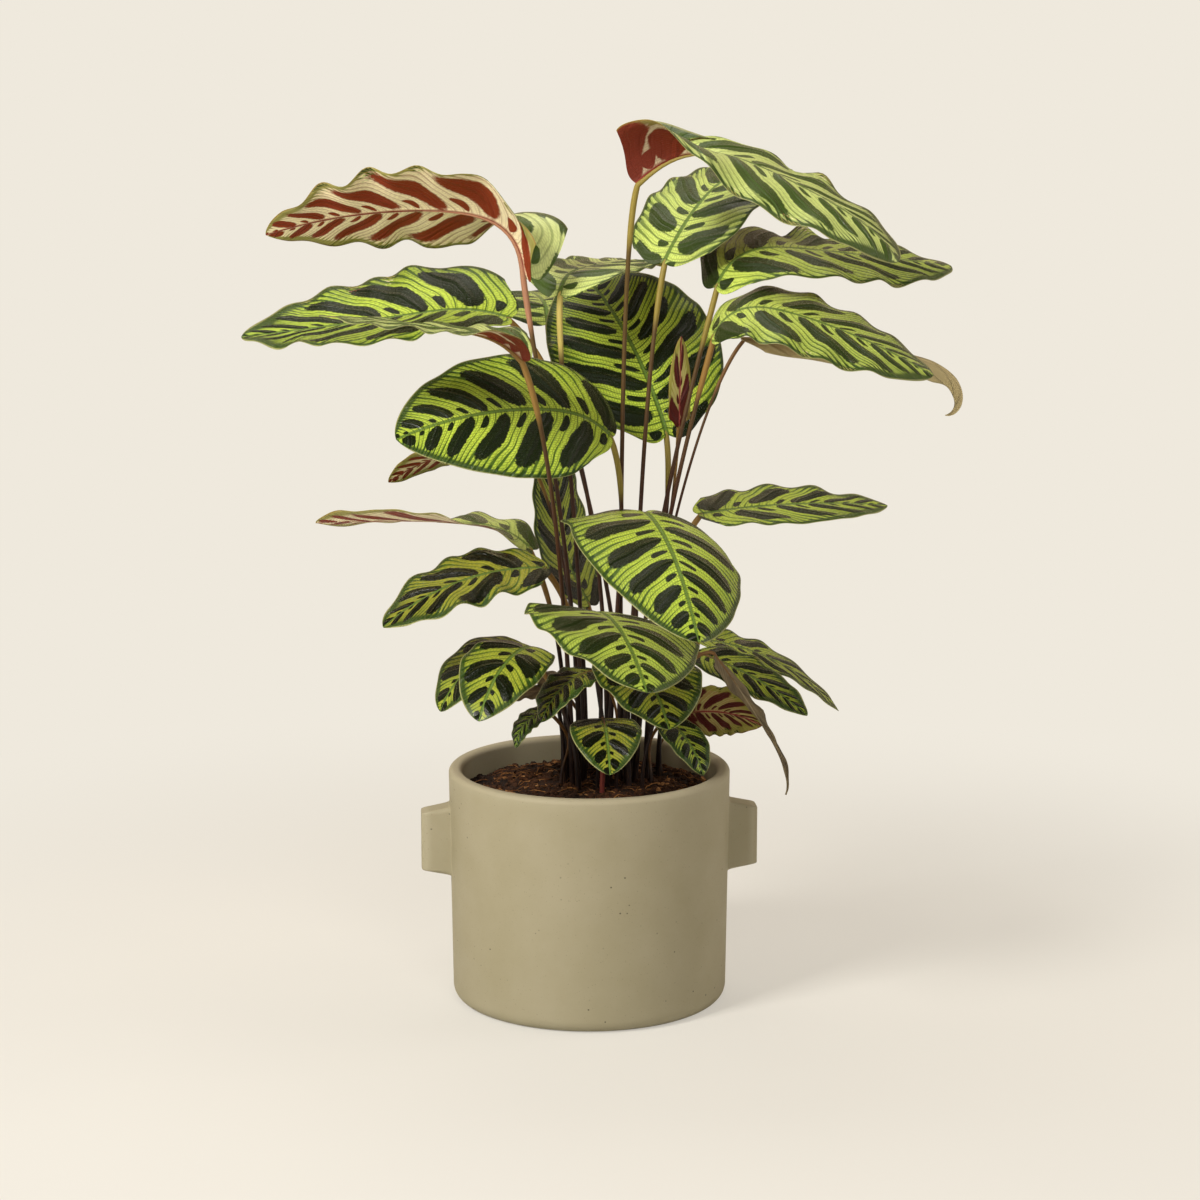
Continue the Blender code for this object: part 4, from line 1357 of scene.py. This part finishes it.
@dataclass
class Soil:
    """Coconut fibre compost, level round the stalks and lower at the wall.

    lump_sizes holds height, spacing and seed of each layer of the bed's lumps.  The bed,
    the fibres and the middles of all grains stay clear of the wall by gap, rim and margin.
    """

    pot: Pot
    crown_centre: tuple = (17.0, 2.0)
    crown_radius: float = 46.0
    crown_height: float = 165.0
    edge_height: float = 157.0
    bottom: float = 40.0
    lump_sizes: tuple = ((1.3, 13.0, 3), (0.8, 5.0, 4), (0.5, 2.2, 6))
    gap: float = 0.3
    rim: float = 2.0
    margin: float = 4.0
    fibre_lengths: tuple = (7.0, 24.0)
    fibre_radii: tuple = (0.18, 0.38)

    def wall(self, clear: float) -> float:
        """Radius that stays clear of the wall by so many mm."""
        return self.pot.inner_radius(self.edge_height) - clear

    def level(self, x: Array, y: Array) -> Array:
        """Height of the bed: the crown eased down to the edge.

        The share s of the way from the crown's circle to the wall's circle is found
        by repeating s = (|p - (1 - s) c| - r) / (R - r).

        Args:
            x: first coordinate in mm.
            y: second coordinate in mm.

        Returns:
            Heights in mm, with the bed's lumps.
        """
        share = np.zeros_like(x)
        for _ in range(14):
            away = np.hypot(x - (1 - share) * self.crown_centre[0],
                            y - (1 - share) * self.crown_centre[1])
            share = np.clip((away - self.crown_radius)
                            / (self.wall(self.gap) - self.crown_radius), 0, 1)
        drop = (self.crown_height - self.edge_height) * smooth(share)
        lumps = sum(height * lattice_noise(x, y, size, seed)
                    for height, size, seed in self.lump_sizes)
        return self.crown_height - drop + lumps

    def bed(self, finish: Material) -> Piece:
        """The bed itself, a closed disc with a lumpy top.

        Args:
            finish: material of the bed.

        Returns:
            The bed as a piece.
        """
        rings, columns = 110, 220
        radius = self.wall(self.gap) * np.sqrt(np.linspace(0.0001, 1.0, rings))[:, None]
        angle = np.linspace(0, TURN, columns, endpoint=False)[None, :]
        x, y = radius * np.cos(angle), radius * np.sin(angle)
        top = np.stack([x, y, self.level(x, y)], axis=-1)
        below = top[[-1, 0]] * (0.97, 0.97, 0.0) + (0.0, 0.0, self.bottom)
        return Piece(name="soil_bed", points=np.concatenate([top, below]),
                     faces=turned_faces(rings + 2, columns, False), finishes=[finish],
                     replaces="soil", slot="soil")

    def scatter(self, count: int, seed: int) -> tuple[Array, Array, np.random.Generator]:
        """Random places on the bed, evenly spread.

        Args:
            count: how many.
            seed: picks the places.

        Returns:
            Both coordinates in mm, and the generator for what else is random.
        """
        chance = np.random.default_rng(seed)
        reach = self.wall(self.margin) * np.sqrt(chance.random(count))
        angle = chance.random(count) * TURN
        return reach * np.cos(angle), reach * np.sin(angle), chance

    def lumps(self, name: str, count: int, sizes: tuple, stretch: tuple, seed: int,
              finish: Material) -> Piece:
        """Crumbs or chips: one knobbly twenty-sided form, stretched and turned.

        Args:
            name: name of the piece.
            count: how many.
            sizes: smallest and largest radius in mm.
            stretch: scale along each of the form's own axes.
            seed: picks the places and shapes.
            finish: their material.

        Returns:
            All of them as one piece.
        """
        x, y, chance = self.scatter(count, seed)
        gold = (1 + math.sqrt(5)) / 2
        corner = unit(np.array([(-1, gold, 0), (1, gold, 0), (-1, -gold, 0), (1, -gold, 0),
                                (0, -1, gold), (0, 1, gold), (0, -1, -gold), (0, 1, -gold),
                                (gold, 0, -1), (gold, 0, 1), (-gold, 0, -1), (-gold, 0, 1)]))
        # Neighbouring corners are 1.05 apart, and each three of them carry a face.
        apart = np.linalg.norm(corner[:, None] - corner[None], axis=-1)
        linked = (apart > 0.1) & (apart < 1.1)
        faces = np.array([(a, b, c) for a in range(12) for b in range(a) for c in range(b)
                          if linked[a, b] and linked[b, c] and linked[a, c]])
        first, second, third = (corner[faces[:, k]] for k in range(3))
        inward = np.einsum("ij,ij->i", np.cross(second - first, third - first), first) < 0
        faces[inward] = faces[inward][:, ::-1]
        size = sizes[0] + (sizes[1] - sizes[0]) * chance.random(count) ** 2.5
        knobs = 1 + 0.28 * chance.uniform(-1, 1, (count, 12, 1))
        form = corner[None] * knobs * np.array(stretch) * size[:, None, None]
        turn = chance.random((count, 1)) * TURN
        lean = chance.uniform(-0.5, 0.5, (count, 1))
        form = np.stack([form[..., 0] * np.cos(lean) - form[..., 2] * np.sin(lean),
                         form[..., 1],
                         form[..., 0] * np.sin(lean) + form[..., 2] * np.cos(lean)], axis=-1)
        form = np.stack([form[..., 0] * np.cos(turn) - form[..., 1] * np.sin(turn),
                         form[..., 0] * np.sin(turn) + form[..., 1] * np.cos(turn),
                         form[..., 2]], axis=-1)
        middle = np.stack([x, y, self.level(x, y) + 0.25 * size], axis=-1)
        every = (faces[None] + 12 * np.arange(count)[:, None, None]).reshape(-1, 3)
        return Piece(name=name, points=form + middle[:, None, :], faces=every,
                     finishes=[finish], replaces="soil", slot="soil", sharp_above=30.0)

    def fibres(self, count: int, seed: int, finish: Material) -> Piece:
        """Coir fibres: thin bowed tubes that lie on the bed.

        Args:
            count: how many.
            seed: picks the places and shapes.
            finish: their material.

        Returns:
            All of them as one piece.
        """
        x, y, chance = self.scatter(count, seed)
        rings, sides = 9, 5
        t = np.linspace(-0.5, 0.5, rings)[None, :]
        length = chance.uniform(*self.fibre_lengths, (count, 1))
        turn = chance.random((count, 1)) * TURN
        bow = chance.uniform(-0.5, 0.5, (count, 1)) * length
        side = bow * (t ** 2 - 0.1)
        x = x[:, None] + length * t * np.cos(turn) - side * np.sin(turn)
        y = y[:, None] + length * t * np.sin(turn) + side * np.cos(turn)
        shrink = np.minimum(1.0, self.wall(self.rim) / np.hypot(x, y))
        x, y = x * shrink, y * shrink
        arch = chance.uniform(0.2, 2.2, (count, 1)) * np.cos(math.pi * t)
        path = np.stack([x, y, self.level(x, y) + 0.3 + arch], axis=-1)
        radius = chance.uniform(*self.fibre_radii, (count, 1, 1, 1)) \
            * (1 - 0.8 * np.abs(2 * t) ** 3)[..., None, None]
        ahead = unit(np.gradient(path, axis=1))
        points = path[:, :, None, :] + radius * circles(ahead, (0.05, 0.02, 1.0), sides)
        first = rings * sides * np.arange(count)[:, None]
        tubes = (skin_faces(rings, sides) + first[..., None]).reshape(-1, 4)
        ring = np.arange(sides)
        caps = np.concatenate([first + ring, first + (rings - 1) * sides + ring[::-1]])
        return Piece(name="soil_fibres", points=points, faces=tubes.tolist() + caps.tolist(),
                     finishes=[finish], replaces="soil", slot="soil")

    def build(self) -> None:
        """Place the bed, its crumbs, its fibres and its chips."""
        earth = Compost("dark_compost", "#0c0603", "#341d0e", 2.6, 1.4).build()
        crumb = Compost("compost_crumbs", "#160b05", "#4b2c15", 1.6, 0.6).build()
        coir = Compost("coconut_fibre", "#5a351a", "#a0703e", 3.0, 0.2).build()
        chip = Compost("husk_chips", "#6a4424", "#bb8a58", 2.4, 0.4).build()
        self.bed(earth).place()
        self.lumps("soil_crumbs", count=2600, sizes=(0.7, 3.0), stretch=(1.0, 0.8, 0.7),
                   seed=11, finish=crumb).place()
        self.fibres(count=240, seed=31, finish=coir).place()
        self.lumps("soil_chips", count=260, sizes=(0.7, 3.2), stretch=(1.3, 0.7, 0.35),
                   seed=17, finish=chip).place()


@dataclass
class Shoot:
    """A young leaf that is still rolled into a slim spear."""

    foot: tuple = (9.5, -38.0)
    radius: float = 2.2
    height: float = 46.0
    lean: float = 4.0
    twist: float = 2.4
    rise_shares: tuple = (-0.2, 0.1, 0.6, 0.8, 0.93, 1.0)
    radius_shares: tuple = (0.8, 0.85, 1.0, 0.92, 0.6, 0.08)

    def piece(self, finish: Material) -> Piece:
        """Work out the spear: a spiral section that tapers and turns as it rises.

        The section's radius grows by a fifth over one turn, which leaves the step of
        the outer leaf edge.

        Args:
            finish: material of the spear.

        Returns:
            The spear as a piece.
        """
        rows, sides = 60, 28
        t = np.linspace(self.rise_shares[0], 1.0, rows)[:, None]
        angle = np.linspace(0.0, TURN, sides, endpoint=False)[None, :]
        reach = self.radius * np.interp(t, self.rise_shares, self.radius_shares) \
            * (0.86 + 0.2 * angle / TURN)
        turned = angle + self.twist * t
        x = self.foot[0] + self.lean * np.maximum(t, 0.0) ** 2 + reach * np.cos(turned)
        y = self.foot[1] + reach * np.sin(turned)
        z = CROWN_HEIGHT + self.height * t + 0 * angle
        streak = np.stack([0.1 * z, 3 * np.cos(angle) + 0 * z, 3 * np.sin(angle) + 0 * z],
                          axis=-1)
        return Piece(name="rolled_shoot", points=np.stack([x, y, z], axis=-1),
                     faces=turned_faces(rows, sides, True), finishes=[finish],
                     replaces="new_shoot", slot="shoot",
                     fields={"streak": streak.reshape(-1, 3)})


# ------------------------------------------------------------------- studio

@dataclass(frozen=True)
class Lamp:
    """A square soft lamp that faces the plant: place and side in mm, power in watts."""

    name: str
    place: tuple
    side: float
    power: float


@dataclass
class Studio:
    """Pale floor, soft lamps and the camera.

    Lengths are in mm; only the floor's reach and the distances over which it fades
    are in metres.
    """

    backdrop: str = "#efe9dd"
    floor: tuple = ("#d3d3cf", "#dcdbd5")
    floor_reach: float = 40.0
    fade: tuple = (0.25, 0.95)
    bounce: str = "#ffe2bf"
    room_light: tuple = (0.07, 0.55)
    lamp_colour: str = "#fffaf3"
    lamp_target: tuple = (0.0, 0.0, 300.0)
    lamps: tuple = (Lamp("key", (-1450, -1450, 1800), 650, 66.0),
                    Lamp("front", (500, -2200, 1400), 900, 16.0),
                    Lamp("low", (-1400, -1300, 150), 900, 7.0),
                    Lamp("top", (-200, 900, 2200), 1200, 12.0),
                    Lamp("edge", (1900, 200, 900), 1200, 11.0))
    target: tuple = (8.0, 0.0, 302.0)
    distance: float = 2400.0
    elevation: float = 11.0
    lens: float = 97.3

    def build(self) -> None:
        """Make the floor, the world, the lamps and the camera."""
        self.make_floor()
        self.make_world()
        for lamp in self.lamps:
            data = bpy.data.lights.new(lamp.name, "AREA")
            data.energy = lamp.power
            data.size = lamp.side * MM
            data.color = linear(self.lamp_colour)[:3]
            self.aim(data, lamp.place, self.lamp_target)
        self.make_camera()

    def make_floor(self) -> None:
        """A wide floor that takes the shadow and melts into the backdrop's colour.

        To the eye half of it glows even close by, which lightens the plant's shadow there:
        painted light.
        """
        reach = self.floor_reach
        mesh = bpy.data.meshes.new("studio_floor")
        mesh.from_pydata([(-reach, -reach, 0), (reach, -reach, 0), (reach, reach, 0),
                          (-reach, reach, 0)], [], [(0, 1, 2, 3)])
        finish, tree = start("studio_paper")
        shader = tree.nodes["Principled BSDF"]
        place = add(tree, "TexCoord").outputs["Object"]
        grain = add(tree, "TexNoise", place, 3.0, 2.0, 0.5)
        colour = lay(tree, self.floor[0], (grain, 1.0, self.floor[1]))
        for name, value in (("Base Color", colour), ("Roughness", 0.95),
                            ("Specular IOR Level", 0.1)):
            feed(tree, shader.inputs[name], value)
        far = add(tree, "VectorMath", place, operation="LENGTH")
        # Close by, half of what the eye sees is glow, which lightens the plant's shadow: painted
        # light.
        fade = add(tree, "MapRange", far.outputs["Value"], *self.fade, 0.5, 1.0, **EASED)
        seen = add(tree, "Math", fade, add(tree, "LightPath").outputs["Is Camera Ray"],
                   operation="MULTIPLY")
        glow = add(tree, "Emission", self.backdrop)
        blend = add(tree, "MixShader", seen, shader, glow)
        feed(tree, tree.nodes["Material Output"].inputs["Surface"], blend)
        mesh.materials.append(finish)
        made = bpy.data.objects.new("studio_floor", mesh)
        bpy.context.scene.collection.objects.link(made)

    def make_world(self) -> None:
        """The room: plain to the eye, bright behind the plant and dim in front of it."""
        world = bpy.data.worlds.new("studio_world")
        bpy.context.scene.world = world
        world.use_nodes = True
        tree = world.node_tree
        background = tree.nodes["Background"]
        heading = add(tree, "SeparateXYZ", add(tree, "TexCoord").outputs["Generated"])
        room = add(tree, "MapRange", heading.outputs[1], -0.6, 0.8, *self.room_light)
        seen = add(tree, "LightPath").outputs["Is Camera Ray"]
        feed(tree, background.inputs["Color"],
             lay(tree, self.bounce, (seen, 1.0, self.backdrop)))
        feed(tree, background.inputs["Strength"],
             add(tree, "Math", room, seen, operation="MAXIMUM"))

    def make_camera(self) -> None:
        """The camera, level sideways and looking slightly down."""
        data = bpy.data.cameras.new("camera")
        data.lens = self.lens
        data.sensor_width = 36.0
        data.clip_end = 200.0
        slope = math.radians(self.elevation)
        offset = self.distance * np.array([0.0, -math.cos(slope), math.sin(slope)])
        bpy.context.scene.camera = self.aim(data, self.target + offset, self.target)

    @staticmethod
    def aim(data: bpy.types.ID, place: Sequence, target: Sequence) -> bpy.types.Object:
        """Put a lamp or the camera somewhere, its -Z axis turned to a target.

        Args:
            data: the lamp's or the camera's data.
            place: where it stands, in mm.
            target: what it faces, in mm.

        Returns:
            The new object.
        """
        back = unit(np.array(place) - np.array(target))
        right = unit(np.cross([0.0, 0.0, 1.0], back))
        matrix = np.eye(4)
        matrix[:3, 0], matrix[:3, 1], matrix[:3, 2] = right, np.cross(back, right), back
        matrix[:3, 3] = np.array(place) * MM
        made = bpy.data.objects.new(data.name, data)
        bpy.context.scene.collection.objects.link(made)
        made.matrix_world = Matrix(matrix.tolist())
        return made


def main() -> None:
    """Load the solids and build every sub-assembly in order."""
    logging.basicConfig(level=logging.INFO, format="%(name)s %(message)s")
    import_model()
    bpy.context.scene.view_settings.view_transform = "Standard"
    pot = Pot()
    pot.piece(Stoneware().build()).place()
    Soil(pot).build()
    Shoot().piece(SpearSkin().build()).place()
    Foliage(LEAVES).build()
    Studio().build()


if __name__ == "__main__":
    main()
